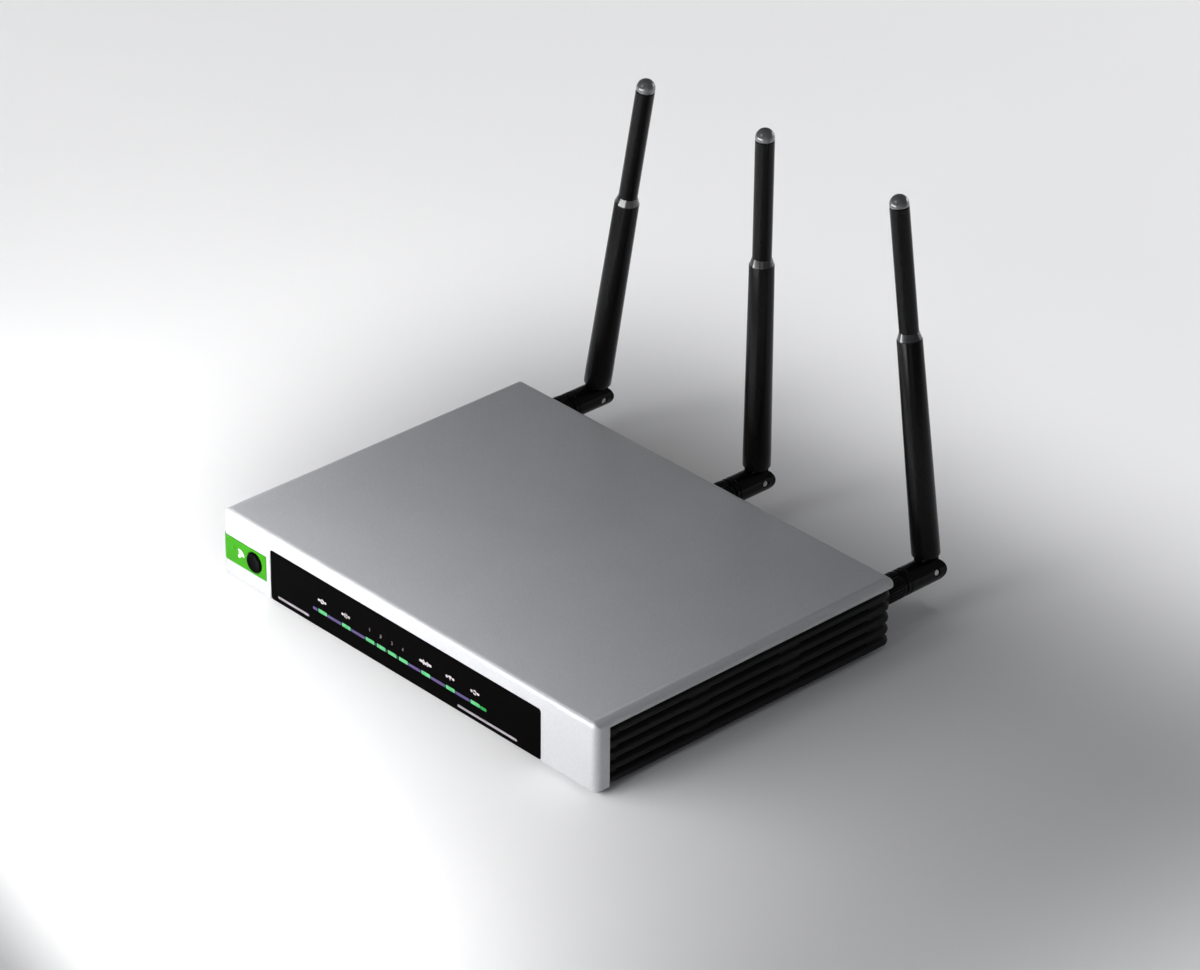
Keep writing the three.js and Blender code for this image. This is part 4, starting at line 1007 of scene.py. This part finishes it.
@dataclass
class LowerCase(SubAssembly):
    """The black lower case, with five rounded ribs along each side and the rear panel."""

    side_inset: float = 0.8
    corner: float = 4.0
    front: float = 6.7
    ribs: int = 5
    pitch: float = 4.74
    rib: float = 2.8
    groove: float = 1.6
    side_wall: float = 1.8
    rear_wall: float = 2.2
    floor: float = 2.0
    rib_steps: int = 4
    slots_per_groove: int = 3
    slot_length: float = 34.0
    clearance: float = 0.25
    reset_hole: float = 1.6
    jack_hole: float = 3.35
    rear_step: float = 0.4
    panel_inset: float = 7.2
    lip: Pair = (2.5, 30.0)
    lip_gap: float = 0.2
    boss: Triple = (4.6, 1.0, 6.0)
    screw_head: Pair = (3.05, 2.7)
    screw_shank: Pair = (1.5, 7.0)
    foot_recess: Pair = (5.75, 0.55)
    label_recess: float = 0.2
    vent_rows: Pair = (-34.0, 34.0)
    vents_per_row: int = 9
    vent_pitch: float = 7.0
    vent_size: Pair = (2.2, 24.0)
    wall_slots: Pair = (-55.0, 55.0)
    wall_slot_head: float = 4.2
    wall_slot_neck: float = 2.2
    wall_slot_run: float = 6.8

    def levels(self, low: float, high: float) -> list[Pair]:
        """Inset and height of each ring, over the round ribs and through the grooves."""
        steps = []
        for n in range(self.ribs):
            middle = low + n * self.pitch + self.rib / 2
            for k in range(self.rib_steps + 1):
                angle = (k / self.rib_steps - 0.5) * math.pi
                inset = self.groove * 0.55 * (1 - math.cos(angle))
                steps.append((inset, middle + self.rib / 2 * math.sin(angle)))
            steps.append((self.groove, middle + self.rib / 2 + 0.25))
            steps.append((self.groove, middle - self.rib / 2 + self.pitch - 0.25))
        steps = [(inset, level) for inset, level in steps if level <= high]
        return [*steps, (self.groove, high)]

    def build(self) -> None:
        """Makes the lower case."""
        low, high = millimetres("bottom_case")
        half = millimetres("top_cover")[1].x - self.side_inset
        rings = []
        for inset, level in self.levels(low.z, high.z):
            corners = (-half, self.front), (half, high.y - self.rear_step)
            outline = inset_rectangle(*corners, inset, self.corner - inset, 7)
            rings.append([Vector((x, y, level)) for x, y in outline])
        solid = Shape.loft(rings).outward()
        inner = half - self.groove - self.side_wall
        inside = high.y - self.rear_wall
        hollow = Shape.block((-inner, -PAST, low.z + self.floor), (inner, inside, high.z + PAST))
        wide = half - self.panel_inset
        panel = Shape.block((-wide, inside, low.z), (wide, high.y, high.z))
        wide = half - self.groove - self.lip_gap
        lip = Shape.prism(rounded_rectangle(-wide, wide, *self.lip, 3), low.z, low.z + self.floor)
        radius, start, end = self.boss
        boss = Shape.bar(radius, low.z + start, low.z + end)
        places = [centre(f"case_screw_{corner}") for corner in Underside.CORNERS]
        bosses = [boss.moved(place.x, place.y) for place in places]
        shell = solid.cut(hollow).fused(panel, lip, *bosses)
        tools = [*self.socket_holes(high.y), *self.floor_holes(low.z), *self.side_slots(low.z, inner)]
        self.stand_in("bottom_case", shell.cut(*tools), Look.CASE, edge=0.16)

    def socket_holes(self, rear: float) -> list[Shape]:
        """Holes in the rear panel for the sockets, the reset button and the antenna jacks."""
        tools = []
        gap = self.clearance
        for name in ("lan_jack_block", "wan_jack", "usb_socket", "power_socket"):
            low, high = millimetres(name)
            tools.append(
                Shape.block(
                    (low.x - gap, rear - self.rear_wall - PAST, low.z - gap),
                    (high.x + gap, rear + PAST, high.z + gap),
                )
            )
        holes = [("reset_button", self.reset_hole)]
        holes += [(f"antenna_jack_{side}", self.jack_hole) for side in Antenna.SIDES]
        for name, radius in holes:
            place = centre(name)
            bore = Shape.bar(radius, rear - self.rear_wall - PAST, rear + PAST, Axis.BACK)
            tools.append(bore.moved(x=place.x, z=place.z))
        return tools

    def floor_holes(self, base: float) -> list[Shape]:
        """Screw holes, foot recesses, label recess, vents and wall slots."""
        tools = []
        (head, head_end), (shank, shank_end) = self.screw_head, self.screw_shank
        profile = [(head, base - PAST), (head, base + head_end)]
        profile += [(shank, base + head_end), (shank, base + shank_end)]
        foot, depth = self.foot_recess
        for corner in Underside.CORNERS:
            place = centre(f"case_screw_{corner}")
            tools.append(Shape.turned(profile).moved(place.x, place.y))
            place = centre(f"foot_{corner}")
            tools.append(Shape.bar(foot, base - PAST, base + depth).moved(place.x, place.y))
        label = inset_rectangle(*millimetres("underside_label"), -self.clearance, 1.5)
        tools.append(Shape.prism(label, base - PAST, base + self.label_recess))
        middle = millimetres("top_cover")[1].y / 2
        through = []
        for row in self.vent_rows:
            for n in range(self.vents_per_row):
                x = (n - (self.vents_per_row - 1) / 2) * self.vent_pitch
                through.append(lozenge(x, middle + row, *self.vent_size, 1.0, 4))
        for x in self.wall_slots:
            wide = arc(x, middle, self.wall_slot_head, 148, 392, 16)
            through.append(wide + arc(x, middle + self.wall_slot_run, self.wall_slot_neck, 0, 180, 8))
        tools += [Shape.prism(outline, base - PAST, base + self.floor + PAST) for outline in through]
        return tools

    def side_slots(self, base: float, inner: float) -> list[Shape]:
        """Vents along the bottoms of the grooves."""
        depth = millimetres("top_cover")[1].y
        pitch = (depth - 2 * self.front) / self.slots_per_groove
        tools = []
        for n in range(1, self.ribs):
            level = base + n * self.pitch - (self.pitch - self.rib) / 2
            for k in range(self.slots_per_groove):
                y = self.front + (k + 0.5) * pitch
                for side in (-1, 1):
                    x = side * (inner + self.side_wall / 2)
                    reach = self.side_wall / 2 + 0.6
                    tools.append(
                        Shape.block(
                            (x - reach, y - self.slot_length / 2, level - 0.5),
                            (x + reach, y + self.slot_length / 2, level + 0.5),
                        )
                    )
        return tools


@dataclass
class Underside(SubAssembly):
    """Feet, case screws and the blank label."""

    CORNERS = ("front_left", "front_right", "rear_left", "rear_right")
    foot_radius: float = 5.5
    head_radius: float = 2.8

    def build(self) -> None:
        """Makes the feet, the screws and the label."""
        for corner in self.CORNERS:
            name = f"foot_{corner}"
            place, top = centre(name), millimetres(name)[1].z
            profile = [(0.3, 0.35), (2.2, 0.3), (2.5, 0.0), (4.6, 0.0), (5.1, 0.12), (5.4, 0.45)]
            profile += [(self.foot_radius, 0.9), (self.foot_radius, top)]
            self.stand_in(name, Shape.turned(profile).moved(place.x, place.y), Look.RUBBER)
            name = f"case_screw_{corner}"
            place, (low, high) = centre(name), millimetres(name)
            screw = self.screw(low.z, high.z).moved(place.x, place.y)
            self.stand_in(name, screw, Look.SCREW, edge=0.06)
        self.label()

    def screw(self, low: float, high: float) -> Shape:
        """A cross-head screw with its head down and a threaded shank."""
        head = self.head_radius
        profile = [(0.8, low), (head - 0.7, low + 0.05), (head - 0.2, low + 0.35), (head, low + 0.8)]
        profile += [(head, low + 1.8), (1.25, low + 1.8)]
        level = low + 2.4
        while level < high - 2:
            profile += [(1.05, level), (1.25, level + 0.3), (1.05, level + 0.6)]
            level += 0.9
        profile += [(1.0, high - 1.2), (0.1, high)]
        cross = [
            Shape.block((-long, -wide, low - PAST), (long, wide, low + 1.1))
            for long, wide in ((1.6, 0.33), (0.33, 1.6))
        ]
        return Shape.turned(profile, segments=24).cut(*cross)

    def label(self) -> None:
        """The blank label with a printed border and plain rules."""
        low, high = millimetres("underside_label")
        plate = Shape.prism(inset_rectangle(low, high, 0, 1.2), low.z, high.z)
        self.stand_in("underside_label", plate, Look.LABEL)
        border = inset_rectangle(low, high, 2, 1, 3)
        strokes = [self.flat(Shape.ribbon(border, 0.35, closed=True), low.z)]
        for n in range(5):
            y = low.y + 7 + n * 5
            end = high.x - (8 if n % 2 else 22)
            strokes.append(self.flat(Shape.ribbon([(low.x + 6, y), (end, y)], 0.7), low.z))
        self.piece("label_rules", Shape.gather(strokes), Look.LABEL_PRINT)

    @staticmethod
    def flat(stroke: Shape, level: float) -> Shape:
        """A stroke drawn on the front plane, laid on the label's lower face."""
        turn = Matrix(((1, 0, 0, 0), (0, 0, 1, 0), (0, 0.04, 0, level - 0.02), (0, 0, 0, 1)))
        return stroke.under(turn)


@dataclass
class RearSockets(SubAssembly):
    """The network, USB and power sockets, the reset button and the rear panel's prints."""

    pitch: float = 14.0
    mouth: Pair = (11.8, 7.0)
    mouth_floor: float = 3.6
    depth: float = 12.0
    lan_ports: int = 4
    contacts_per_port: int = 8
    contact_pitch: float = 1.02
    reset_radii: Pair = (1.2, 0.9)
    usb_wall: float = 0.4
    usb_fingers: Pair = (-3.0, 3.0)
    usb_pads: tuple[float, ...] = (-3.5, -1.0, 1.0, 3.5)
    plug_rise: float = 0.6
    plug_radii: Pair = (3.15, 3.6)
    sign_size: float = 1.3
    sign_level: float = 5.9
    sign_stroke: float = 0.36

    def ports(self) -> list[tuple[str, float]]:
        """The node and the centre of each network socket."""
        middle = centre("lan_jack_block").x
        spread = [(n - (self.lan_ports - 1) / 2) * self.pitch for n in range(self.lan_ports)]
        return [("lan_jack_block", middle + x) for x in spread] + [("wan_jack", centre("wan_jack").x)]

    def mouth_outline(self, x: float, base: float) -> list[Pair]:
        """A network socket's mouth with its stepped latch slot."""
        low = base + self.mouth_floor
        half, high = self.mouth[0] / 2, low + self.mouth[1]
        steps = [(3.1, 0), (3.1, -1.7), (1.7, -1.7), (1.7, -2.5)]
        right = [(x + a, low + b) for a, b in reversed(steps)]
        left = [(x - a, low + b) for a, b in steps]
        return [*right, (x + half, low), (x + half, high), (x - half, high), (x - half, low), *left]

    def build(self) -> None:
        """Makes the sockets and the prints."""
        ports = self.ports()
        for node, look in (("lan_jack_block", Look.YELLOW), ("wan_jack", Look.BLUE)):
            low, high = millimetres(node)
            mouths = [
                Shape.prism(self.mouth_outline(x, low.z), high.y - self.depth, high.y + PAST, Axis.BACK)
                for name, x in ports
                if name == node
            ]
            block = Shape.block(tuple(low), tuple(high)).cut(*mouths)
            self.stand_in(node, block, look, edge=0.2)
        low, high = millimetres("lan_jack_block")
        self.piece("socket_contacts", self.contacts(ports, high.y, low.z), Look.BRASS)
        self.usb()
        self.power()
        self.prints(ports)
        place, (low, high) = centre("reset_button"), millimetres("reset_button")
        shank, end = self.reset_radii
        profile = [(shank, low.y), (shank, high.y - 0.3), (end, high.y), (0.1, high.y)]
        button = Shape.turned(profile, Axis.BACK, 24).moved(x=place.x, z=place.z)
        self.stand_in("reset_button", button, Look.BUTTON, body="reset_button")

    def contacts(self, ports: list[tuple[str, float]], rear: float, base: float) -> Shape:
        """Eight sprung contact wires in each network socket."""
        roof = base + self.mouth_floor + self.mouth[1]
        path = [(rear - 11.5, roof - 4.6), (rear - 9.5, roof - 3.2), (rear - 3.4, roof - 0.55)]
        flat = Shape.ribbon([*path, (rear - 2.6, roof - 0.3)], 0.35)
        wires = []
        for _, x in ports:
            for n in range(self.contacts_per_port):
                place = x + (n - (self.contacts_per_port - 1) / 2) * self.contact_pitch
                turn = Matrix(((0, 0.4, 0, place - 0.2), (1, 0, 0, 0), (0, 0, 1, 0), (0, 0, 0, 1)))
                wires.append(flat.under(turn))
        return Shape.gather(wires)

    def usb(self) -> None:
        """The nickel shell with its tongue, contacts and sprung fingers."""
        low, high = millimetres("usb_socket")
        corners = (low.x, low.z), (high.x, high.z)
        shell = Shape.prism(inset_rectangle(*corners, 0, 0.7, 4), low.y, high.y, Axis.BACK)
        inner = inset_rectangle(*corners, self.usb_wall, 0.5, 4)
        cavity = Shape.prism(inner, low.y + 2, high.y + PAST, Axis.BACK)
        middle = centre("usb_socket").x
        fingers = [
            Shape.block((x - 0.9, high.y - 8, high.z - PAST), (x + 0.9, high.y - 7.7, high.z + PAST))
            for x in (middle + place for place in self.usb_fingers)
        ]
        self.stand_in("usb_socket", shell.cut(cavity, *fingers), Look.STEEL, edge=0.08)
        tongue = Shape.block(
            (middle - 5.5, low.y + 1.9, high.z - 2.9), (middle + 5.5, high.y - 1.2, high.z - 1.2),
        )
        self.piece("usb_tongue", tongue, Look.SOCKET, edge=0.2)
        pads = [
            Shape.block((x - 0.5, high.y - 9, high.z - 2.96), (x + 0.5, high.y - 1.7, high.z - 2.86))
            for x in (middle + place for place in self.usb_pads)
        ]
        self.piece("usb_contacts", Shape.gather(pads), Look.BRASS)

    def power(self) -> None:
        """The power socket with its round mouth and centre pin."""
        low, high = millimetres("power_socket")
        place = centre("power_socket")
        x, level = place.x, place.z + self.plug_rise
        bore, lip = self.plug_radii
        mouth = [(bore, high.y - 10), (bore, high.y - 0.5), (lip, high.y), (lip, high.y + PAST)]
        mouth_tool = Shape.turned(mouth, Axis.BACK).moved(x=x, z=level)
        body = Shape.block(tuple(low), tuple(high)).cut(mouth_tool)
        self.stand_in("power_socket", body, Look.SOCKET, edge=0.25)
        pin = [(1.0, high.y - 10.4), (1.0, high.y - 2), (0.6, high.y - 1.5), (0.1, high.y - 1.5)]
        self.piece("power_pin", Shape.turned(pin, Axis.BACK, 24).moved(x=x, z=level), Look.STEEL)

    def prints(self, ports: list[tuple[str, float]]) -> None:
        """Numerals under the network sockets and plain signs under the others."""
        rear = millimetres("bottom_case")[1].y
        panel = FrontPanel
        drawings = (panel.one, panel.two, panel.three, panel.four, panel.globe, panel.power)
        places = [*(x for _, x in ports), centre("power_socket").x]
        size, level = self.sign_size, self.sign_level
        strokes = []
        for x, draw in zip(places, drawings):
            for path, closed in draw():
                # Seen from behind, right is low X.
                seen = [(x - a * size, level + b * size) for a, b in path]
                strokes.append(Shape.ribbon(seen, self.sign_stroke, closed))
        self.piece("rear_signs", Shape.printed(strokes, 0.05, rear - 0.02), Look.PRINT)


@dataclass
class Board(SubAssembly):
    """The circuit board and what stands on it, mostly the CAD solids with their own finishes."""

    def build(self) -> None:
        """Dresses the board's nodes and adds the status diodes."""
        self.dress(Look.BOARD, "main_board")
        self.dress(Look.CHIP, "processor", "memory_chip", "flash_chip", "network_switch_chip")
        self.dress(Look.CHIP, "lan_transformer", "wan_transformer", "power_inductor")
        self.dress(Look.HEATSINK, "processor_heatsink")
        self.dress(Look.SHIELD, "radio_shield")
        self.dress(Look.CAPACITOR, "filter_capacitor_a", "filter_capacitor_b")
        self.dress(Look.SOCKET, "pairing_switch", "reset_switch")
        for side in Antenna.SIDES:
            self.dress(Look.LEAD, f"antenna_lead_{side}")
            self.dress(Look.BRASS, f"antenna_jack_{side}", f"antenna_radiator_{side}")
        low, high = millimetres("main_board")
        diodes = [
            Shape.block((x - 0.8, low.y + 0.3, high.z), (x + 0.8, low.y + 1.5, high.z + 0.9))
            for x in FrontPanel().lens_places
        ]
        self.piece("status_diodes", Shape.gather(diodes), Look.GUIDE)


# ---------------------------------------------------------------------------------------- antennas


@dataclass
class Antenna(SubAssembly):
    """One antenna: nut, knurled collar, swivelling knuckle, hinge pin and whip."""

    SIDES = ("left", "middle", "right")
    side: str = "middle"
    setback: float = 28.5
    tongue: float = 4.2
    slot_gap: float = 0.2
    ear: float = 5.0
    barrel: float = 5.2
    collar: Pair = (2.6, 13.4)
    collar_radius: float = 5.3
    knurls: int = 26
    sleeve_start: float = 5.8
    sleeve_top: float = 90.0
    sleeve_radii: Pair = (5.3, 4.7)
    shoulder: float = 2.8
    rod: float = 3.6
    length: float = 144.4
    cap_length: float = 4.6
    pin: float = 1.35
    pin_play: float = 0.12
    pin_end: float = 0.35
    nut_width: float = 9.0
    nut_ends: Pair = (0.1, 2.1)
    nut_bore: float = 3.3
    band: float = 1.4
    knurl_depth: float = 0.35
    core: float = 2.6
    lead_radius: float = 0.7
    past_barrel: float = 8.0
    facets: int = 56

    def __post_init__(self) -> None:
        """Finds the antenna's own frame from its two joints."""
        joints = {joint["name"]: joint for joint in frame["joints"]}
        tilt = joints[f"{self.side}_tilt"]
        across = -Vector(tilt["axis"])
        back = Vector((0, 1, 0))
        up = across.cross(back)
        turn = Matrix((across, back, up)).transposed().to_4x4()
        self.pivot = Matrix.Translation(tilt["pos_m"]) @ turn @ Matrix.Scale(MM, 4)
        root = Vector(joints[f"{self.side}_swivel"]["pos_m"])
        self.square = Matrix.Translation(root) @ Matrix.Scale(MM, 4)
        self.leaned = Matrix.Translation(root) @ turn @ Matrix.Scale(MM, 4)

    def build(self) -> None:
        """Makes the antenna from its root to its tip."""
        side, body = self.side, f"{self.side}_knuckle"
        self.home = self.square
        self.stand_in(f"jack_nut_{side}", self.nut(), Look.BRASS, 0.15)
        self.stand_in(f"antenna_collar_{side}", self.knurled_collar(), Look.ANTENNA, 0.08)
        self.home = self.leaned
        self.stand_in(f"antenna_knuckle_{side}", self.knuckle(), Look.ANTENNA, 0.25, body)
        self.home = self.pivot
        self.stand_in(f"hinge_pin_{side}", self.hinge_pin(), Look.SCREW, body=body)
        self.whip()

    def nut(self) -> Shape:
        """A hexagonal nut with chamfered corners."""
        start, end = self.nut_ends
        corner = self.nut_width / math.cos(math.pi / 6) / 2
        body = Shape.prism(arc(0, 0, corner, 0, 300, 5), start, end, Axis.BACK)
        chamfer = [(corner - 0.7, start), (corner, start + 0.4), (corner, end - 0.4), (corner - 0.7, end)]
        rounded = body.common(Shape.turned(chamfer, Axis.BACK, 48))
        return rounded.cut(Shape.bar(self.nut_bore, -PAST, end + PAST, Axis.BACK))

    def knurled_collar(self) -> Shape:
        """The collar that screws on the jack, with knurls between two plain bands."""
        start, end = self.collar
        band, radius, depth = self.band, self.collar_radius, self.knurl_depth

        def ring(level: float, knurl: float, size: float) -> list[Vector]:
            """One ring, with its knurls cut in by a depth."""
            ring_points = []
            for n in range(self.knurls * 4):
                angle = TAU * n / (self.knurls * 4)
                reach = size - (knurl if n % 4 in (2, 3) else 0)
                ring_points.append(Vector((reach * math.cos(angle), level, reach * math.sin(angle))))
            return ring_points

        levels = [(start, 0, radius - 0.4), (start + 0.3, 0, radius - 0.1), (start + band, 0, radius - 0.1)]
        levels += [(start + band + 0.05, depth, radius - 0.05), (start + band + 0.3, depth, radius)]
        levels += [(end - band - 0.3, depth, radius), (end - band - 0.05, depth, radius - 0.05)]
        levels += [(end - band, 0, radius - 0.1), (end - 0.3, 0, radius - 0.1), (end, 0, radius - 0.4)]
        solid = Shape.loft([ring(*level) for level in levels]).outward()
        bore = [(3.5, start - PAST), (3.5, end - 2.5), (2.9, end - 2.5), (2.9, end + PAST)]
        return solid.cut(Shape.turned(bore, Axis.BACK))

    def knuckle(self) -> Shape:
        """The captive stem, the barrel and the fork."""
        start = self.collar[1] + 0.3
        root = self.setback - self.tongue - 0.4
        end = self.setback + self.ear
        profile = [(3.2, 9.75), (3.2, start - 3.1), (2.6, start - 3.1), (2.6, start)]
        profile += [(4.5, start), (4.95, start + 0.15), (self.barrel, start + 0.5)]
        profile += [(self.barrel, start + 1.6), (self.barrel - 0.25, start + 1.8)]
        profile += [(self.barrel - 0.25, start + 2.2), (self.barrel, start + 2.4), (self.barrel, end)]
        solid = Shape.turned(profile, Axis.BACK, 48)
        barrel = [(start - 9, self.ear + 2), (start - 9, -self.ear - 2), (root - 0.5, -self.ear - 2)]
        fork = [(root - 0.5, -self.ear), *arc(self.setback, 0, self.ear, -90, 90, 20), (root - 0.5, self.ear)]
        side = [*barrel, *fork, (root - 0.5, self.ear + 2)]
        far = self.past_barrel
        flanks = Shape.prism(side, -far, far, Axis.ACROSS)
        half = self.tongue / 2 + self.slot_gap
        slot = Shape.block((-half, root, -far), (half, end + PAST, far))
        return solid.common(flanks).cut(slot, self.pin_bore().moved(y=self.setback))

    def pin_bore(self) -> Shape:
        """The tool for the hinge pin's hole."""
        return Shape.bar(self.pin + self.pin_play, -self.past_barrel, self.past_barrel, Axis.ACROSS)

    def hinge_pin(self) -> Shape:
        """A pin with rounded ends."""
        half = self.barrel - self.pin_end
        profile = [(0.1, -half), (self.pin - 0.35, -half), (self.pin, -half + 0.3)]
        profile += [(radius, -level) for radius, level in reversed(profile)]
        return Shape.turned(profile, Axis.ACROSS, 32)

    def whip(self) -> None:
        """The sleeve with its tongue, and the domed cap on the rod's end."""
        root, top = self.sleeve_radii
        shoulder = self.sleeve_top + self.shoulder
        cap = self.length - self.cap_length
        profile = [(root - 0.9, self.sleeve_start), (root - 0.3, self.sleeve_start + 0.2)]
        profile += [(root, self.sleeve_start + 0.8), (root, self.sleeve_start + 7)]
        profile += [(top, self.sleeve_top - 0.3), (top - 0.12, self.sleeve_top), (top - 0.4, self.sleeve_top)]
        profile += [(self.rod - 0.2, shoulder - 0.3), (self.rod - 0.2, shoulder), (self.rod, shoulder + 0.2)]
        profile += [(self.rod, cap - 0.25), (self.rod - 0.3, cap)]
        sleeve = Shape.turned(profile, segments=self.facets)
        reach = self.tongue
        base = self.sleeve_start + 1
        side = [(reach, base), (-reach, base), *arc(0, 0, reach, 180, 360, 20)]
        tongue = Shape.prism(side, -self.tongue / 2, self.tongue / 2, Axis.ACROSS)
        core = Shape.bar(self.core, 12, cap - 2)
        channel = Shape.bar(self.lead_radius, -self.past_barrel, 13, segments=12).moved(y=self.core)
        body = f"{self.side}_whip"
        shape = sleeve.fused(tongue).cut(self.pin_bore(), core, channel)
        self.stand_in(f"antenna_whip_{self.side}", shape, Look.ANTENNA, 0.1, body)
        # The shoulder's cone is its own ring, in the lighter black of the painted shoulder highlight.
        cone = [(top - 0.38, self.sleeve_top + 0.01), (top - 0.14, self.sleeve_top + 0.01)]
        cone += [(self.rod + 0.12, shoulder - 0.3), (self.rod, shoulder), (self.rod - 0.19, shoulder)]
        cone.append((self.rod - 0.19, shoulder - 0.31))
        self.piece(f"antenna_shoulder_{self.side}", self.cone_ring(cone), Look.SHOULDER, body=body)
        dome = [(self.rod - 0.3, cap), (self.rod, cap + 0.25)]
        dome += [(max(0.08, reach), z) for reach, z in arc(0, self.length - self.rod, self.rod, 0, 90, 10)]
        tip = Shape.turned(dome, segments=self.facets)
        self.piece(f"antenna_tip_{self.side}", tip, Look.TIP, body=body)

    def cone_ring(self, profile: list[Pair]) -> Shape:
        """A ring with that closed section about the antenna's axis."""
        angles = [TAU * n / self.facets for n in range(self.facets)]
        rings = [[Vector((r * math.cos(a), r * math.sin(a), z)) for r, z in profile] for a in angles]
        return Shape.loft(rings, hollow=True).outward()


# ------------------------------------------------------------------------------------------ studio


@dataclass(frozen=True)
class Softbox:
    """A rectangular soft light in metres and watts, aimed at the router or gridded and facing the floor."""

    name: str
    place: Triple
    size: Pair
    power: float
    faces_down: bool = False
    grid: float = 30.0
    aim: Triple = (0.0, 0.0, 0.03)


SOFTBOXES = (
    Softbox("key", (-0.06, -0.24, 0.102), (0.42, 0.06), 0.87),
    Softbox("card", (1.07, -1.0, 0.31), (0.6, 0.4), 0.5),
    Softbox("high", (-0.3, -1.1, 1.1), (0.4, 0.4), 1.5),
    Softbox("back", (0.25, 1.3, 0.35), (0.8, 0.4), 2.5),
    Softbox("rear floor", (0.0, 1.65, 0.4), (5.0, 3.0), 31, faces_down=True),
    Softbox("front floor", (0.0, -1.72, 0.4), (5.0, 3.0), 17, faces_down=True),
    Softbox("left floor", (-1.33, -0.035, 0.4), (2.34, 0.37), 1.9, faces_down=True),
    Softbox("right floor", (1.4, -0.035, 0.4), (2.2, 0.37), 1.5, faces_down=True),
)


@dataclass
class Studio:
    """The floor, the soft lights and the camera."""

    azimuth: float = 46.96
    elevation: float = 29.87
    roll: float = 0.46
    distance: float = 1.7714
    lens: float = 151.05
    aim_x: float = 0.00215
    aim_z: float = 0.001
    aim_right: float = 0.0679
    aim_up: float = 0.0679
    floor_size: float = 8.0
    surround: Triple = (0.93, 0.95, 1.0)
    surround_strength: float = 0.13

    def build(self) -> None:
        """Makes the studio."""
        bpy.context.scene.view_settings.view_transform = "Standard"
        self.floor()
        self.sky()
        self.camera()
        for softbox in SOFTBOXES:
            self.light(softbox)

    def floor(self) -> None:
        """A floor that the router stands on."""
        half = self.floor_size / 2 / MM
        outline = rounded_rectangle(-half, half, -half, half, half / 4, 12)
        data = Shape.prism(outline, -3, 0).mesh("floor", Matrix.Scale(MM, 4))
        data.materials.append(Look.FLOOR.material())
        made = bpy.data.objects.new("floor", data)
        bpy.context.scene.collection.objects.link(made)

    def sky(self) -> None:
        """Even pale light from all round."""
        world = bpy.data.worlds.new("soft surround")
        world.use_nodes = True
        background = world.node_tree.nodes["Background"]
        background.inputs["Color"].default_value = (*self.surround, 1.0)
        background.inputs["Strength"].default_value = self.surround_strength
        bpy.context.scene.world = world

    def camera(self) -> None:
        """The camera, level with its aim and rolled a little."""
        azimuth, elevation = math.radians(self.azimuth), math.radians(self.elevation)
        back = Vector((
            math.sin(azimuth) * math.cos(elevation),
            -math.cos(azimuth) * math.cos(elevation),
            math.sin(elevation),
        ))
        right = (-back).cross(Vector((0, 0, 1))).normalized()
        up = right.cross(-back)
        roll = math.radians(self.roll)
        right, up = right * math.cos(roll) + up * math.sin(roll), up * math.cos(roll) - right * math.sin(roll)
        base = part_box("top_cover")[0]
        aim = Vector((self.aim_x, base.y, base.z + self.aim_z)) + right * self.aim_right + up * self.aim_up
        data = bpy.data.cameras.new("camera")
        data.lens, data.sensor_width = self.lens, 36
        data.clip_start, data.clip_end = 0.05, 30
        made = bpy.data.objects.new("camera", data)
        turn = Matrix((right, up, back)).transposed().to_4x4()
        made.matrix_world = Matrix.Translation(aim + back * self.distance) @ turn
        bpy.context.scene.collection.objects.link(made)
        bpy.context.scene.camera = made

    @staticmethod
    def light(box: Softbox) -> None:
        """Adds one soft light."""
        data = bpy.data.lights.new(box.name, "AREA")
        data.shape, data.size, data.size_y = "RECTANGLE", box.size[0], box.size[1]
        data.energy = box.power
        made = bpy.data.objects.new(box.name, data)
        made.location = box.place
        made.visible_camera = False
        if box.faces_down:
            data.spread = math.radians(box.grid)
        else:
            aim = Vector(box.aim) - Vector(box.place)
            made.rotation_euler = aim.to_track_quat("-Z", "Y").to_euler()
        bpy.context.scene.collection.objects.link(made)


def main() -> None:
    """Builds the router's sub-assemblies in order."""
    logging.basicConfig(level=logging.INFO, format="%(message)s")
    Studio().build()
    for part in (TopCover(), Badge(), FrontPanel(), LowerCase(), Underside(), RearSockets(), Board()):
        part.build()
    for side in Antenna.SIDES:
        Antenna(side=side).build()


if __name__ == "__main__":
    main()
